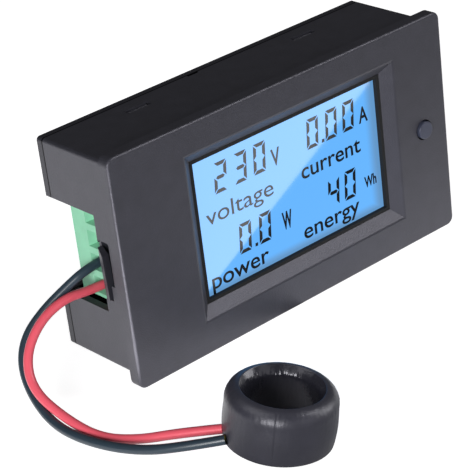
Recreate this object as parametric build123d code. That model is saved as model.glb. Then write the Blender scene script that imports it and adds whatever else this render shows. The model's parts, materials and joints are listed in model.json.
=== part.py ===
from build123d import *
import os
from math import asin, cos, pi, radians, sin, tan

# Panel-mounted AC power meter: a bezel with a box behind it, a backlit display, one button, a
# four-way screw terminal in the left wall and a ring current transformer on two loose leads.
# Millimetres. X is to the right of the reader, Y into the panel and Z up. The origin is the
# middle of the panel cut-out, in the plane where the bezel meets the panel.

# Bezel and body
FLANGE_W = 89.6
FLANGE_H = 49.6
FLANGE_T = 2.9
FLANGE_R = 1.8
FRONT_EDGE_R = 0.6
BODY_W = 86.6
BODY_H = 46.0
BODY_D = 21.5
BODY_R = 0.8
WALL = 1.6
FRONT_WALL = 2.0
COVER_T = 1.95
FIT = 0.15

# Window and the picture seen through it
PICTURE_X = 1.7
PICTURE_Z = 0.4
PICTURE_BORDER_X = 18.05
PICTURE_BORDER_Z = 8.15
WINDOW_RIM = 0.8
FUNNEL_RUN = 2.4
FUNNEL_LIP_W = 0.25
FUNNEL_LIP_D = 0.15
GASKET_T = 1.0
GASKET_LAND = 3.8

# Display stack, from the reader inwards
POLARISER_T = 0.2
POLARISER_OVER = 1.2
GLASS_T = 0.55
GLASS_OVER = 2.2
CONTACT_LEDGE = 3.0
DIFFUSER_T = 0.15
GUIDE_T = 1.8
GUIDE_OVER = 1.3
REFLECTOR_T = 0.15
FRAME_WALL = 1.9
LAMP_COUNT = 3
LAMP_PITCH = 9.0
LAMP_W = 3.0
LAMP_T = 1.1
LAMP_H = 1.5
PIN_COUNT = 18
PIN_PITCH = 2.54
PIN_W = 0.5
PIN_T = 0.25
PIN_PAD = 1.6

# Circuit board
BOARD_Y = 4.4
BOARD_T = 1.6
BOARD_GAP = 0.4
BOSS_INSET_X = 4.2
BOSS_INSET_Z = 3.9
BOSS_R = 2.5
SCREW_R = 0.95
SCREW_L = 6.4
SCREW_TIP_GAP = 0.4
SCREW_HEAD_R = 1.9
SCREW_HEAD_T = 1.3
SOLDER_TAIL = 0.8

# Push button and its switch
BUTTON_INSET = 3.9
BUTTON_Z = 0.1
BUTTON_R = 1.95
BUTTON_GAP = 0.3
BUTTON_PROUD = 0.7
BUTTON_DOME = 0.25
BUTTON_RIM_R = 3.2
BUTTON_RIM_T = 0.8
BUTTON_SEAT_GAP = 0.2
BUTTON_TRAVEL = 0.4
SWITCH_SIZE = 6.0
SWITCH_H = 3.4
SWITCH_LID_T = 0.2
PLUNGER_R = 1.7
PLUNGER_L = 2.1
PLUNGER_GAP = 0.1
DOME_T = 0.2

# Notch in the left wall for the leads, and the panel snap tongues
NOTCH_Y = 6.1
NOTCH_Z = -0.1
NOTCH_SPARE = 0.34
TONGUE_Y0 = 4.4
TONGUE_W = 1.55
TONGUE_ROOT_Z = -7.6
TONGUE_L = 11.3
TONGUE_T = 1.1
TONGUE_CREST = 0.45
TONGUE_LEAN = 0.3
TONGUE_GAP_ABOVE = 1.5
TONGUE_SLIT = 1.65
TONGUE_SLIT_ROOT = 0.66
TONGUE_SLIT_Z = -4.24
NOTCH_WEB_W = 1.55
NOTCH_WEB_T = 0.7
TONGUE_ROOT_GAP = 0.12
TONGUE_SWING = 8.0

# Snap hooks of the rear cover
HOOK_X = 22.5
HOOK_W = 5.4
HOOK_T = 1.1
HOOK_Y = 15.4
SLOT_W = 6.0
SLOT_D = 1.6
SPIGOT_T = 1.1
SPIGOT_D = 1.5
LABEL_W = 52.0
LABEL_H = 34.0
LABEL_X = 9.0
LABEL_DEPTH = 0.3
PRY_X = -4.8
PRY_W = 3.0
PRY_D = 0.7
PRY_DEEP = 1.0

# Four-way screw terminal
POLE_COUNT = 4
POLE_PITCH = 5.08
TERMINAL_INSET = 2.55
TERMINAL_W = 8.7
TERMINAL_H = 11.7
WIRE_RISE = 5.2
ENTRY_W = 3.6
ENTRY_H = 4.4
ENTRY_HOLE = 2.8
THROAT_D = 2.15
CHAMBER_W = 4.2
CHAMBER_L = 4.9
BAR_T = 0.7
BAR_END = 0.6
BAR_W = 2.3
BAR_LEG_W = 1.0
BAR_LEG_T = 0.6
CAGE_W = 3.9
CAGE_L = 4.6
CAGE_SIDE = 0.6
CAGE_FLOOR = 0.7
CAGE_NUT = 1.2
CLAMP_GAP = 1.0
CLAMP_TRAVEL = 1.8
CLAMP_R = 1.25
CLAMP_BORE_GAP = 0.05
CLAMP_ROOF_GAP = 0.1
CLAMP_TIP_GAP = 0.05
CLAMP_HEAD_R = 1.9
CLAMP_HEAD_T = 1.1
CLAMP_SINK = 0.1
CLAMP_WELL_R = 2.05
CLAMP_SLOT_W = 0.6
CLAMP_SLOT_D = 0.6
CLAMP_NUT_GAP = 0.2
WIRED_POLES = (3, 4)

# Leads of the current transformer
LEAD_R = 0.95
CONDUCTOR_R = 0.45
CONDUCTOR_L = 5.4
LEAD_INSET = 1.15

# Parts on the board: length along X, width along Z, height off the board, and places
CHIP_STANDOFF = 0.1
CHIP_LEG_T = 0.25
CHIP_LEG_W = 0.4
CHIP_LEG_L = 1.0
METERING_L = 10.0
METERING_W = 3.9
METERING_H = 1.75
METERING_LEGS = 8
METERING_PITCH = 1.27
METERING_FROM_TERMINAL = 11.05
METERING_Z = 2.0
CONTROLLER_SIZE = 7.0
CONTROLLER_H = 1.5
CONTROLLER_X = 6.0
CONTROLLER_Z = -4.0
DRIVER_SIZE = 10.0
DRIVER_X = 22.0
QUAD_PITCH = 0.8
MEMORY_L = 4.9
MEMORY_X = -5.0
MEMORY_Z = -6.0
CRYSTAL_L = 11.0
CRYSTAL_W = 4.6
CRYSTAL_H = 3.5
CRYSTAL_Z = 4.5
FILM_CAP_L = 18.0
FILM_CAP_W = 7.0
FILM_CAP_H = 11.5
FILM_CAP_FROM_TERMINAL = 14.55
FILM_CAP_FROM_TOP = 6.5
LARGE_CAP_R = 4.0
LARGE_CAP_H = 11.5
LARGE_CAP_X = 1.5
LARGE_CAP_FROM_TOP = 6.0
SMALL_CAP_R = 2.5
SMALL_CAP_H = 11.0
SMALL_CAP_X = 10.5
SMALL_CAP_FROM_TOP = 5.0
CAP_EDGE_R = 0.4
CRIMP_Y = 1.2
CRIMP_W = 0.6
CRIMP_D = 0.35
VARISTOR_R = 4.2
VARISTOR_T = 3.4
VARISTOR_EDGE_R = 1.2
VARISTOR_FROM_TERMINAL = 6.75
VARISTOR_FROM_BOTTOM = 6.5
VARISTOR_RISE = 5.6
LEG_R = 0.35
LEG_SPREAD = 4.8
FUSIBLE_R = 1.7
FUSIBLE_L = 10.0
FUSIBLE_X = -12.0
FUSIBLE_FROM_BOTTOM = 4.5
FUSIBLE_REACH = 1.4
DIODE_L = 4.2
DIODE_W = 2.6
DIODE_H = 2.2
DIODE_COUNT = 5
DIODE_PITCH = 5.5
DIODE_X = 2.0
DIODE_FROM_BOTTOM = 4.0
REGULATOR_L = 6.5
REGULATOR_W = 3.5
REGULATOR_H = 1.8
REGULATOR_X = 22.0
REGULATOR_FROM_TOP = 7.5
REGULATOR_PITCH = 2.3
REGULATOR_LEG_W = 0.8
REGULATOR_TAB_W = 3.2
CHIP_RESISTOR_L = 3.2
CHIP_RESISTOR_W = 1.6
CHIP_RESISTOR_T = 0.6
DIVIDER_COUNT = 6
DIVIDER_PITCH = 3.2
DIVIDER_FROM_TERMINAL = 4.05
DIVIDER_Z = 8.5
BURDEN_X = -13.0
BURDEN_Z = -6.0
BURDEN_PITCH = 2.6
CHIP_CAP_L = 1.6
CHIP_CAP_T = 0.8
CHIP_CAP_PITCH = 4.0
CHIP_CAP_X = -5.0
CHIP_CAP_Z = 7.8
CHIP_CAP_FROM_EDGE = 8.3

# Current transformer, made upright on its own axis and then leaned on its leads
CT_X = -41.1
CT_Y = -38.5
CT_HEADING = 138.0
CT_LEAN = 10.0
CT_H = 11.0
CT_R = 10.7
CT_BASE_R = 10.3
CT_BASE_EDGE = 0.3
CT_WAIST = 0.5
CT_SHOULDER = 2.6
CT_LIP_R = 8.0
CT_BORE_R = 7.0
CT_FLARE = 2.0
CT_BORE_END = 0.8
CT_INNER_WALL = 0.6
CT_CAVITY_R = 9.95
CT_CAVITY_H = 9.3
CT_POTTING_T = 1.0
TAPE_T = 0.12
TURN_COUNT = 40
WINDING_WIRE = 0.3
CORE_GAP = 0.05

# Places worked out from the sizes above
FRONT_Y = -FLANGE_T
CAVITY_Y = FRONT_Y + FRONT_WALL
SEAM_Y = BODY_D - COVER_T
FLOOR_Z = -FLANGE_H / 2
PICTURE_W = BODY_W - 2 * PICTURE_BORDER_X
PICTURE_H = BODY_H - 2 * PICTURE_BORDER_Z
BOARD_W = BODY_W - 2 * WALL - 2 * BOARD_GAP
BOARD_H = BODY_H - 2 * WALL - 2 * BOARD_GAP
BOSS_X = BODY_W / 2 - WALL - BOSS_INSET_X
BOSS_Z = BODY_H / 2 - WALL - BOSS_INSET_Z
BUTTON_X = BODY_W / 2 - WALL - BUTTON_INSET
TERMINAL_X = TERMINAL_INSET - BODY_W / 2
NOTCH_H = POLE_COUNT * POLE_PITCH + 2 * NOTCH_SPARE
BOARD_REAR = BOARD_Y + BOARD_T
WIRE_Y = BOARD_REAR + WIRE_RISE
LEAD_START_X = TERMINAL_X + LEAD_INSET
PICTURE_Y = CAVITY_Y + GASKET_T
GLASS_Y = PICTURE_Y + POLARISER_T
LEDGE_Y = GLASS_Y + GLASS_T
FILM_Y = LEDGE_Y + GLASS_T + POLARISER_T
GUIDE_Y = FILM_Y + DIFFUSER_T
REFLECTOR_Y = GUIDE_Y + GUIDE_T
GLASS_W = PICTURE_W + 2 * GLASS_OVER
GLASS_H = PICTURE_H + 2 * GLASS_OVER - 1.1
GUIDE_W = PICTURE_W + 2 * GUIDE_OVER
GUIDE_H = PICTURE_H + 2 * GUIDE_OVER
TERMINAL_TOP = BOARD_REAR + TERMINAL_H
TERMINAL_X1 = TERMINAL_X + TERMINAL_W
CHAMBER_X = TERMINAL_X + THROAT_D
BAR_Y = WIRE_Y + CLAMP_GAP / 2
HEAD_Y = TERMINAL_TOP - CLAMP_SINK - CLAMP_HEAD_T
CAGE_X = CHAMBER_X + FIT
CLAMP_X = CAGE_X + CAGE_L / 2
NUT_Y = BAR_Y + BAR_T + CLAMP_NUT_GAP
POLE_Z = [POLE_PITCH * (POLE_COUNT - 1) / 2 - POLE_PITCH * i for i in range(POLE_COUNT)]


def block(x0, x1, y0, y1, z0, z1):
    """A box between two corners."""
    middle = Pos((x0 + x1) / 2, (y0 + y1) / 2, (z0 + z1) / 2)
    return middle * Box(x1 - x0, y1 - y0, z1 - z0)


def plate(width, height, y0, y1, x=0.0, z=0.0):
    """A box as wide and high as given, centred on x and z, between two depths."""
    return block(x - width / 2, x + width / 2, y0, y1, z - height / 2, z + height / 2)


def rod(radius, x, z, y0, y1):
    """A round bar along Y."""
    return Pos(x, (y0 + y1) / 2, z) * Rot(90, 0, 0) * Cylinder(radius, y1 - y0)


def rod_x(radius, y, z, x0, x1):
    """A round bar along X."""
    return Pos((x0 + x1) / 2, y, z) * Rot(0, 90, 0) * Cylinder(radius, x1 - x0)


def round_long_edges(solid, radius):
    """Rounds the edges that run along Y."""
    return fillet(solid.edges().filter_by(Axis.Y), radius)


def funnel(x, y0, z, size0, y1, size1):
    """A straight-sided funnel along Y from one rectangle to another."""
    sections = []
    for y, (width, height) in ((y0, size0), (y1, size1)):
        plane = Plane(origin=(x, y, z), x_dir=(1, 0, 0), z_dir=(0, -1, 0))
        sections.append(plane * Rectangle(width, height))
    return loft(sections, ruled=True)


def corners():
    """The four places of the board's bosses and screws."""
    return [(sx * BOSS_X, sz * BOSS_Z) for sx in (-1, 1) for sz in (-1, 1)]


def left_notch(y1):
    """The opening in the left wall and the cover, from the notch's front edge back to y1."""
    z0 = NOTCH_Z - NOTCH_H / 2
    return block(-BODY_W, TERMINAL_X1 + 2 * FIT, NOTCH_Y, y1, z0, z0 + NOTCH_H)


# Housing


def notch_web():
    """A strip along the front edge of the left notch, between the snap tongue and the terminal."""
    x1 = TERMINAL_X - FIT - 0.05
    z0 = NOTCH_Z - NOTCH_H / 2
    return block(x1 - NOTCH_WEB_W, x1, NOTCH_Y, NOTCH_Y + NOTCH_WEB_T, z0, z0 + NOTCH_H)


def tongue_window(side):
    """The cut-out that a snap tongue stands in. It ends at the notch's web on the left."""
    y0 = TONGUE_Y0 - TONGUE_SLIT
    y1 = NOTCH_Y if side < 0 else TONGUE_Y0 + TONGUE_W + 0.3
    x0, x1 = sorted((side * BODY_W, side * (BODY_W / 2 - WALL - 0.1)))
    top = TONGUE_ROOT_Z + TONGUE_L + TONGUE_GAP_ABOVE
    wide = block(x0, x1, y0, y1, TONGUE_SLIT_Z, top)
    wide = fillet(wide.edges().filter_by(Axis.X).group_by(Axis.Z)[-1], 0.6)
    narrow_y0 = TONGUE_Y0 - TONGUE_SLIT_ROOT
    return wide + block(x0, x1, narrow_y0, y1, TONGUE_ROOT_Z, TONGUE_SLIT_Z + 0.1)


def front_housing():
    flange = round_long_edges(plate(FLANGE_W, FLANGE_H, FRONT_Y, 0), FLANGE_R)
    flange = fillet(flange.faces().sort_by(Axis.Y)[0].edges(), FRONT_EDGE_R)
    body = round_long_edges(plate(BODY_W, BODY_H, -FLANGE_T / 2, SEAM_Y), BODY_R)
    shell = flange + body
    shell -= plate(BODY_W - 2 * WALL, BODY_H - 2 * WALL, CAVITY_Y, SEAM_Y)
    inner = (PICTURE_W + 2 * WINDOW_RIM, PICTURE_H + 2 * WINDOW_RIM)
    outer = (inner[0] + 2 * FUNNEL_RUN, inner[1] + 2 * FUNNEL_RUN)
    shell -= funnel(PICTURE_X, FRONT_Y, PICTURE_Z, outer, CAVITY_Y, inner)
    run = FUNNEL_RUN * FUNNEL_LIP_D / FRONT_WALL
    lip = (outer[0] + 2 * FUNNEL_LIP_W, outer[1] + 2 * FUNNEL_LIP_W)
    below = (outer[0] - 2 * run, outer[1] - 2 * run)
    shell -= funnel(PICTURE_X, FRONT_Y, PICTURE_Z, lip, FRONT_Y + FUNNEL_LIP_D, below)
    shell -= rod(BUTTON_R + BUTTON_GAP, BUTTON_X, BUTTON_Z, FRONT_Y, CAVITY_Y)
    for x, z in corners():
        shell += rod(BOSS_R, x, z, CAVITY_Y, BOARD_Y)
        shell -= rod(SCREW_R, x, z, BOARD_REAR - SCREW_L - SCREW_TIP_GAP, BOARD_Y)
    top = BODY_H / 2
    shell -= plate(PRY_W, 2 * PRY_DEEP, SEAM_Y - PRY_D, SEAM_Y, PRY_X, top)
    shell -= left_notch(SEAM_Y)
    shell += notch_web()
    for side in (-1, 1):
        shell -= tongue_window(side)
        for x in (-HOOK_X, HOOK_X):
            wall = side * (BODY_H - WALL) / 2
            shell -= plate(SLOT_W, WALL + 1, HOOK_Y - SLOT_D / 2, HOOK_Y + SLOT_D / 2, x, wall)
    return shell


def snap_tongue(side):
    """A leaf whose flat front locks behind the panel, with a ramp that lets it through."""
    wall = BODY_W / 2
    root = TONGUE_ROOT_Z + TONGUE_ROOT_GAP
    tip = TONGUE_ROOT_Z + TONGUE_L
    front = TONGUE_Y0
    rear = TONGUE_Y0 + TONGUE_W
    sections = []
    for z, lean in ((root, 0.0), (tip, TONGUE_LEAN)):
        out = wall + lean
        outline = [
            (out - TONGUE_T, front),
            (out + TONGUE_CREST, front),
            (out + TONGUE_CREST, front + TONGUE_CREST / 3),
            (out, rear),
            (out - TONGUE_T, rear),
        ]
        points = [(side * x, y, z) for x, y in outline]
        sections.append(make_face(Polyline(*points, close=True)))
    leaf = loft(sections, ruled=True)
    slope = [(front - 1, tip - TONGUE_W - 1), (rear, tip), (rear, tip + 1), (front - 1, tip + 1)]
    plane = Plane(origin=(-BODY_W, 0, 0), x_dir=(0, 1, 0), z_dir=(1, 0, 0))
    return leaf - extrude(plane * make_face(Polyline(*slope, close=True)), amount=2 * BODY_W)


# Rear cover


def snap_hook(x, side):
    """An arm along the inside of the top or bottom wall, with a barb in the wall's slot."""
    wall = BODY_H / 2 - WALL - FIT
    tip = HOOK_Y - SLOT_D / 2 - 0.8
    arm = block(x - HOOK_W / 2, x + HOOK_W / 2, tip, SEAM_Y + 0.1, wall - HOOK_T, wall)
    plane = Plane(origin=(x - HOOK_W / 2, 0, 0), x_dir=(0, 1, 0), z_dir=(1, 0, 0))
    y1 = HOOK_Y + SLOT_D / 2 - FIT
    y0 = HOOK_Y - SLOT_D / 2 + FIT
    reach = wall + FIT + 0.7 * WALL
    inside = wall - HOOK_T / 5
    outline = [(y1, inside), (y1, reach), (y1 - HOOK_T / 3, reach), (y0, wall), (y0, inside)]
    arm += extrude(plane * make_face(Polyline(*outline, close=True)), amount=HOOK_W)
    return arm if side > 0 else mirror(arm, about=Plane.XY)


def rear_cover():
    cover = round_long_edges(plate(BODY_W, BODY_H, SEAM_Y, BODY_D), BODY_R)
    cover = chamfer(cover.faces().sort_by(Axis.Y)[-1].edges(), 0.3)
    width = BODY_W - 2 * WALL - 2 * FIT
    height = BODY_H - 2 * WALL - 2 * FIT
    lip = plate(width, height, SEAM_Y - SPIGOT_D, SEAM_Y)
    lip -= plate(width - 2 * SPIGOT_T, height - 2 * SPIGOT_T, SEAM_Y - SPIGOT_D, SEAM_Y)
    cover += lip
    for x in (-HOOK_X, HOOK_X):
        for side in (-1, 1):
            cover += snap_hook(x, side)
    cover -= left_notch(BODY_D)
    cover -= plate(LABEL_W, LABEL_H, BODY_D - LABEL_DEPTH, BODY_D, LABEL_X, 0)
    return cover


# Display


def picture_plate(over, y, thickness):
    """A sheet that reaches past the picture by the same margin on every side."""
    return plate(PICTURE_W + 2 * over, PICTURE_H + 2 * over, y, y + thickness, PICTURE_X, PICTURE_Z)


def gasket():
    frame = picture_plate(GASKET_LAND, CAVITY_Y, GASKET_T)
    return frame - picture_plate(0, CAVITY_Y, GASKET_T)


def glass_plates():
    """The front plate leaves a ledge of the rear plate bare at the bottom for the pins."""
    top = PICTURE_Z + GLASS_H / 2 + 0.55
    x0, x1 = PICTURE_X - GLASS_W / 2, PICTURE_X + GLASS_W / 2
    front = block(x0, x1, GLASS_Y, LEDGE_Y, top - GLASS_H, top)
    rear = block(x0, x1, LEDGE_Y, LEDGE_Y + GLASS_T, top - GLASS_H - CONTACT_LEDGE, top)
    return front, rear


def pin_places():
    first = PICTURE_X - PIN_PITCH * (PIN_COUNT - 1) / 2
    return [first + PIN_PITCH * i for i in range(PIN_COUNT)]


def ledge_z():
    """The bottom edge of the rear glass."""
    return glass_plates()[1].bounding_box().min.Z


def display_frame():
    """A tray for the glass and the light guide, with a slot for the pins."""
    front, rear = glass_plates()
    low, high = rear.bounding_box().min, rear.bounding_box().max
    x0, x1 = low.X - FIT - FRAME_WALL, high.X + FIT + FRAME_WALL
    tray = block(x0, x1, PICTURE_Y, BOARD_Y, low.Z - PIN_T - FRAME_WALL, high.Z + FIT + 0.6 * FRAME_WALL)
    tray -= block(low.X - FIT, high.X + FIT, PICTURE_Y, LEDGE_Y + GLASS_T, low.Z - PIN_T, high.Z + FIT)
    pocket = picture_plate(GUIDE_OVER, LEDGE_Y + GLASS_T, REFLECTOR_Y + REFLECTOR_T - LEDGE_Y - GLASS_T)
    tray -= pocket
    half = PIN_PITCH * PIN_COUNT / 2
    tray -= block(PICTURE_X - half, PICTURE_X + half, PICTURE_Y, BOARD_Y, low.Z - PIN_T - 0.3, low.Z)
    return tray


def light_guide():
    """A clear plate, shortened at the right to leave room for the lamps."""
    guide = picture_plate(GUIDE_OVER, GUIDE_Y, GUIDE_T)
    edge = PICTURE_X + GUIDE_W / 2
    return guide - block(edge - LAMP_T - FIT, edge, GUIDE_Y, GUIDE_Y + GUIDE_T, -GUIDE_H, GUIDE_H)


def backlight_lamps():
    edge = PICTURE_X + GUIDE_W / 2
    y0 = GUIDE_Y + (GUIDE_T - LAMP_H) / 2
    lamps = []
    for i in range(LAMP_COUNT):
        z = PICTURE_Z + LAMP_PITCH * (i - (LAMP_COUNT - 1) / 2)
        lamps.append(block(edge - LAMP_T, edge, y0, y0 + LAMP_H, z - LAMP_W / 2, z + LAMP_W / 2))
    return Compound(lamps)


def display_pins():
    """Clips on the glass ledge whose legs run back through the board."""
    bottom = ledge_z()
    pins = []
    for x in pin_places():
        x0, x1 = x - PIN_W / 2, x + PIN_W / 2
        pad = block(x0, x1, LEDGE_Y - PIN_T, LEDGE_Y, bottom - PIN_T, bottom + PIN_PAD)
        leg = block(x0, x1, LEDGE_Y - PIN_T, BOARD_REAR + SOLDER_TAIL, bottom - PIN_T, bottom)
        pins.append((pad + leg).solid())
    return Compound(pins)


# Board


def main_board():
    board = plate(BOARD_W, BOARD_H, BOARD_Y, BOARD_REAR)
    board = fillet(board.edges().filter_by(Axis.Y), 1.0)
    for side in (-1, 1):
        x0, x1 = sorted((side * BOARD_W, side * (BODY_W / 2 - TONGUE_T - 3.0)))
        z1 = TONGUE_ROOT_Z + TONGUE_L + 0.8
        board -= block(x0, x1, BOARD_Y, BOARD_REAR, TONGUE_ROOT_Z - 1, z1)
    z0 = NOTCH_Z - NOTCH_H / 2 - FIT
    z1 = NOTCH_Z + NOTCH_H / 2 + FIT
    board -= block(-BOARD_W, TERMINAL_X - FIT / 2, BOARD_Y, BOARD_REAR, z0, z1)
    for x, z in corners():
        board -= rod(SCREW_R + FIT, x, z, BOARD_Y, BOARD_REAR)
    bottom = ledge_z()
    for x in pin_places():
        board -= block(x - PIN_W / 2, x + PIN_W / 2, BOARD_Y, BOARD_REAR, bottom - PIN_T, bottom)
    x0, x1 = bar_leg_x()
    for z in POLE_Z:
        board -= block(x0, x1, BOARD_Y, BOARD_REAR, z - BAR_LEG_W / 2, z + BAR_LEG_W / 2)
    return board


def board_screws():
    screws = []
    for x, z in corners():
        shank = rod(SCREW_R, x, z, BOARD_REAR - SCREW_L, BOARD_REAR)
        head = rod(SCREW_HEAD_R, x, z, BOARD_REAR, BOARD_REAR + SCREW_HEAD_T)
        head = fillet(head.faces().sort_by(Axis.Y)[-1].edges(), 0.5)
        screw = shank + head
        for turn in (0, 90):
            bar = Box(2.2, 1.2, 0.45)
            screw -= Pos(x, BOARD_REAR + SCREW_HEAD_T, z) * Rot(0, turn, 0) * bar
        screws.append(screw.solid())
    return Compound(screws)


# Button


def button_cap():
    """A short stem in the bezel's hole, with a rim behind the wall that keeps it in."""
    rim_y = CAVITY_Y + BUTTON_SEAT_GAP
    face_y = FRONT_Y - BUTTON_PROUD
    stem = rod(BUTTON_R, BUTTON_X, BUTTON_Z, face_y, rim_y)
    stem = fillet(stem.faces().sort_by(Axis.Y)[0].edges(), BUTTON_DOME)
    return stem + rod(BUTTON_RIM_R, BUTTON_X, BUTTON_Z, rim_y, rim_y + BUTTON_RIM_T)


def plunger_y():
    """Where the plunger's front meets the cap."""
    return CAVITY_Y + BUTTON_SEAT_GAP + BUTTON_RIM_T


def switch_plunger():
    return rod(PLUNGER_R, BUTTON_X, BUTTON_Z, plunger_y(), plunger_y() + PLUNGER_L)


def switch_body():
    front = BOARD_Y - SWITCH_H
    body = plate(SWITCH_SIZE, SWITCH_SIZE, front, BOARD_Y, BUTTON_X, BUTTON_Z)
    well_end = plunger_y() + PLUNGER_L + BUTTON_TRAVEL + DOME_T + 0.1
    body -= rod(PLUNGER_R + PLUNGER_GAP, BUTTON_X, BUTTON_Z, front, well_end)
    return body


def switch_dome():
    """The snap disc that returns the plunger."""
    y0 = plunger_y() + PLUNGER_L + BUTTON_TRAVEL + 0.1
    return rod(PLUNGER_R, BUTTON_X, BUTTON_Z, y0, y0 + DOME_T)


def switch_lid():
    front = BOARD_Y - SWITCH_H
    lid = plate(SWITCH_SIZE, SWITCH_SIZE, front - SWITCH_LID_T, front, BUTTON_X, BUTTON_Z)
    return lid - rod(PLUNGER_R + PLUNGER_GAP, BUTTON_X, BUTTON_Z, front - SWITCH_LID_T, front)


# Terminal


def bar_leg_x():
    """The leg of each contact bar stands beside the cage chamber."""
    x0 = CHAMBER_X + CHAMBER_L + 0.1
    return x0, x0 + BAR_LEG_T


def terminal_housing():
    """Four chambers side by side, each with a wire entry at the left and a screw well at the rear."""
    half = POLE_COUNT * POLE_PITCH / 2
    body = block(TERMINAL_X, TERMINAL_X1, BOARD_REAR, TERMINAL_TOP, -half, half)
    body = chamfer(body.edges().filter_by(Axis.Z).group_by(Axis.Y)[-1], 0.5)
    floor = BAR_Y - CLAMP_GAP - CLAMP_TRAVEL - CAGE_FLOOR - FIT
    roof = NUT_Y + CLAMP_TRAVEL + CAGE_NUT + 0.1
    leg0, leg1 = bar_leg_x()
    for z in POLE_Z:
        chamber_x1 = CHAMBER_X + CHAMBER_L
        body -= block(CHAMBER_X, chamber_x1, floor, roof, z - CHAMBER_W / 2, z + CHAMBER_W / 2)
        body -= block(chamber_x1, leg1, BOARD_REAR, BAR_Y + BAR_T, z - BAR_W / 2, z + BAR_W / 2)
        body -= rod(CLAMP_R + CLAMP_ROOF_GAP, CLAMP_X, z, roof, HEAD_Y)
        body -= rod(CLAMP_WELL_R, CLAMP_X, z, HEAD_Y, TERMINAL_TOP)
        body -= wire_entry(z)
        bar_z0, bar_z1 = z - BAR_W / 2, z + BAR_W / 2
        body -= block(CHAMBER_X - BAR_END, CHAMBER_X, BAR_Y, BAR_Y + BAR_T, bar_z0, bar_z1)
    return body


def wire_entry(z):
    """A funnel in the left face that leads a wire into the chamber."""
    middle = WIRE_Y - CLAMP_GAP / 2
    sections = []
    for x, width, height in ((TERMINAL_X, ENTRY_W, ENTRY_H), (CHAMBER_X, ENTRY_HOLE, ENTRY_HOLE)):
        plane = Plane(origin=(x, middle, z), x_dir=(0, 0, 1), z_dir=(1, 0, 0))
        sections.append(plane * Rectangle(width, height))
    return loft(sections, ruled=True)


def terminal_contacts():
    """Contact bars across the chambers, each with a leg soldered through the board."""
    leg0, leg1 = bar_leg_x()
    bars = []
    for z in POLE_Z:
        bar = block(CHAMBER_X - BAR_END, leg1, BAR_Y, BAR_Y + BAR_T, z - BAR_W / 2, z + BAR_W / 2)
        leg_z0, leg_z1 = z - BAR_LEG_W / 2, z + BAR_LEG_W / 2
        bar += block(leg0, leg1, BOARD_Y - SOLDER_TAIL, BAR_Y + BAR_T, leg_z0, leg_z1)
        bars.append(bar.solid())
    return Compound(bars)


def clamp_lift(pole):
    """How far a cage is lifted at rest: a wired pole is clamped and a free one stands open."""
    return CLAMP_TRAVEL if pole in WIRED_POLES else 0.0


def terminal_cage(pole):
    """A square cage that a turn of the screw lifts, so that its floor presses the wire on the bar."""
    z = POLE_Z[pole - 1]
    grip = BAR_Y - CLAMP_GAP - CLAMP_TRAVEL + clamp_lift(pole)
    nut = NUT_Y + clamp_lift(pole)
    x1 = CAGE_X + CAGE_L
    cage = block(CAGE_X, x1, grip - CAGE_FLOOR, nut + CAGE_NUT, z - CAGE_W / 2, z + CAGE_W / 2)
    inner = CAGE_W / 2 - CAGE_SIDE
    cage -= block(CAGE_X, x1, grip, nut, z - inner, z + inner)
    cage -= rod(CLAMP_R + CLAMP_BORE_GAP, CLAMP_X, z, nut, nut + CAGE_NUT)
    return cage


def terminal_screw(pole):
    """A slotted screw that turns in place, its tip just off the contact bar."""
    z = POLE_Z[pole - 1]
    shank = rod(CLAMP_R, CLAMP_X, z, BAR_Y + BAR_T + CLAMP_TIP_GAP, HEAD_Y)
    head_end = HEAD_Y + CLAMP_HEAD_T
    head = rod(CLAMP_HEAD_R, CLAMP_X, z, HEAD_Y, head_end)
    head = chamfer(head.faces().sort_by(Axis.Y)[-1].edges(), 0.2)
    slot = plate(2.2 * CLAMP_HEAD_R, CLAMP_SLOT_W, head_end - CLAMP_SLOT_D, head_end, CLAMP_X, z)
    return shank + head - slot


# Parts on the board


def leg(x0, x1, z0, z1):
    """One flat leg on the board."""
    return block(x0, x1, BOARD_REAR, BOARD_REAR + CHIP_LEG_T, z0, z1)


def chip(x, z, length, width, height, legs, pitch):
    """A flat package along X with a row of gull legs on both long sides."""
    body = plate(length, width, BOARD_REAR + CHIP_STANDOFF, BOARD_REAR + height, x, z)
    first = x - pitch * (legs - 1) / 2
    for i in range(legs):
        for side in (-1, 1):
            lx = first + pitch * i
            foot = width / 2 - CHIP_STANDOFF
            z0, z1 = sorted((z + side * foot, z + side * (foot + CHIP_LEG_L)))
            body += leg(lx - CHIP_LEG_W / 2, lx + CHIP_LEG_W / 2, z0, z1)
    return body


def square_chip(x, z, size, height, pitch):
    """A flat package with legs on all four sides."""
    body = plate(size, size, BOARD_REAR + CHIP_STANDOFF, BOARD_REAR + height, x, z)
    legs = int((size - pitch) / pitch)
    foot = size / 2 - CHIP_STANDOFF
    half = CHIP_LEG_W / 2
    for i in range(legs):
        along = pitch * (i - (legs - 1) / 2)
        for side in (-1, 1):
            near, far = sorted((side * foot, side * (foot + CHIP_LEG_L)))
            body += leg(x + along - half, x + along + half, z + near, z + far)
            body += leg(x + near, x + far, z + along - half, z + along + half)
    return body


def chip_group(places, length, height, width):
    """Small two-terminal parts with the same size, standing apart on the board."""
    return Compound([plate(length, width, BOARD_REAR, BOARD_REAR + height, x, z) for x, z in places])


def metering_chip():
    x = TERMINAL_X1 + METERING_FROM_TERMINAL
    return chip(x, METERING_Z, METERING_L, METERING_W, METERING_H, METERING_LEGS, METERING_PITCH)


def microcontroller():
    return square_chip(CONTROLLER_X, CONTROLLER_Z, CONTROLLER_SIZE, CONTROLLER_H, QUAD_PITCH)


def display_driver():
    return square_chip(DRIVER_X, CONTROLLER_Z, DRIVER_SIZE, CONTROLLER_H, QUAD_PITCH)


def memory_chip():
    return chip(MEMORY_X, MEMORY_Z, MEMORY_L, METERING_W, METERING_H, 4, METERING_PITCH)


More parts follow.
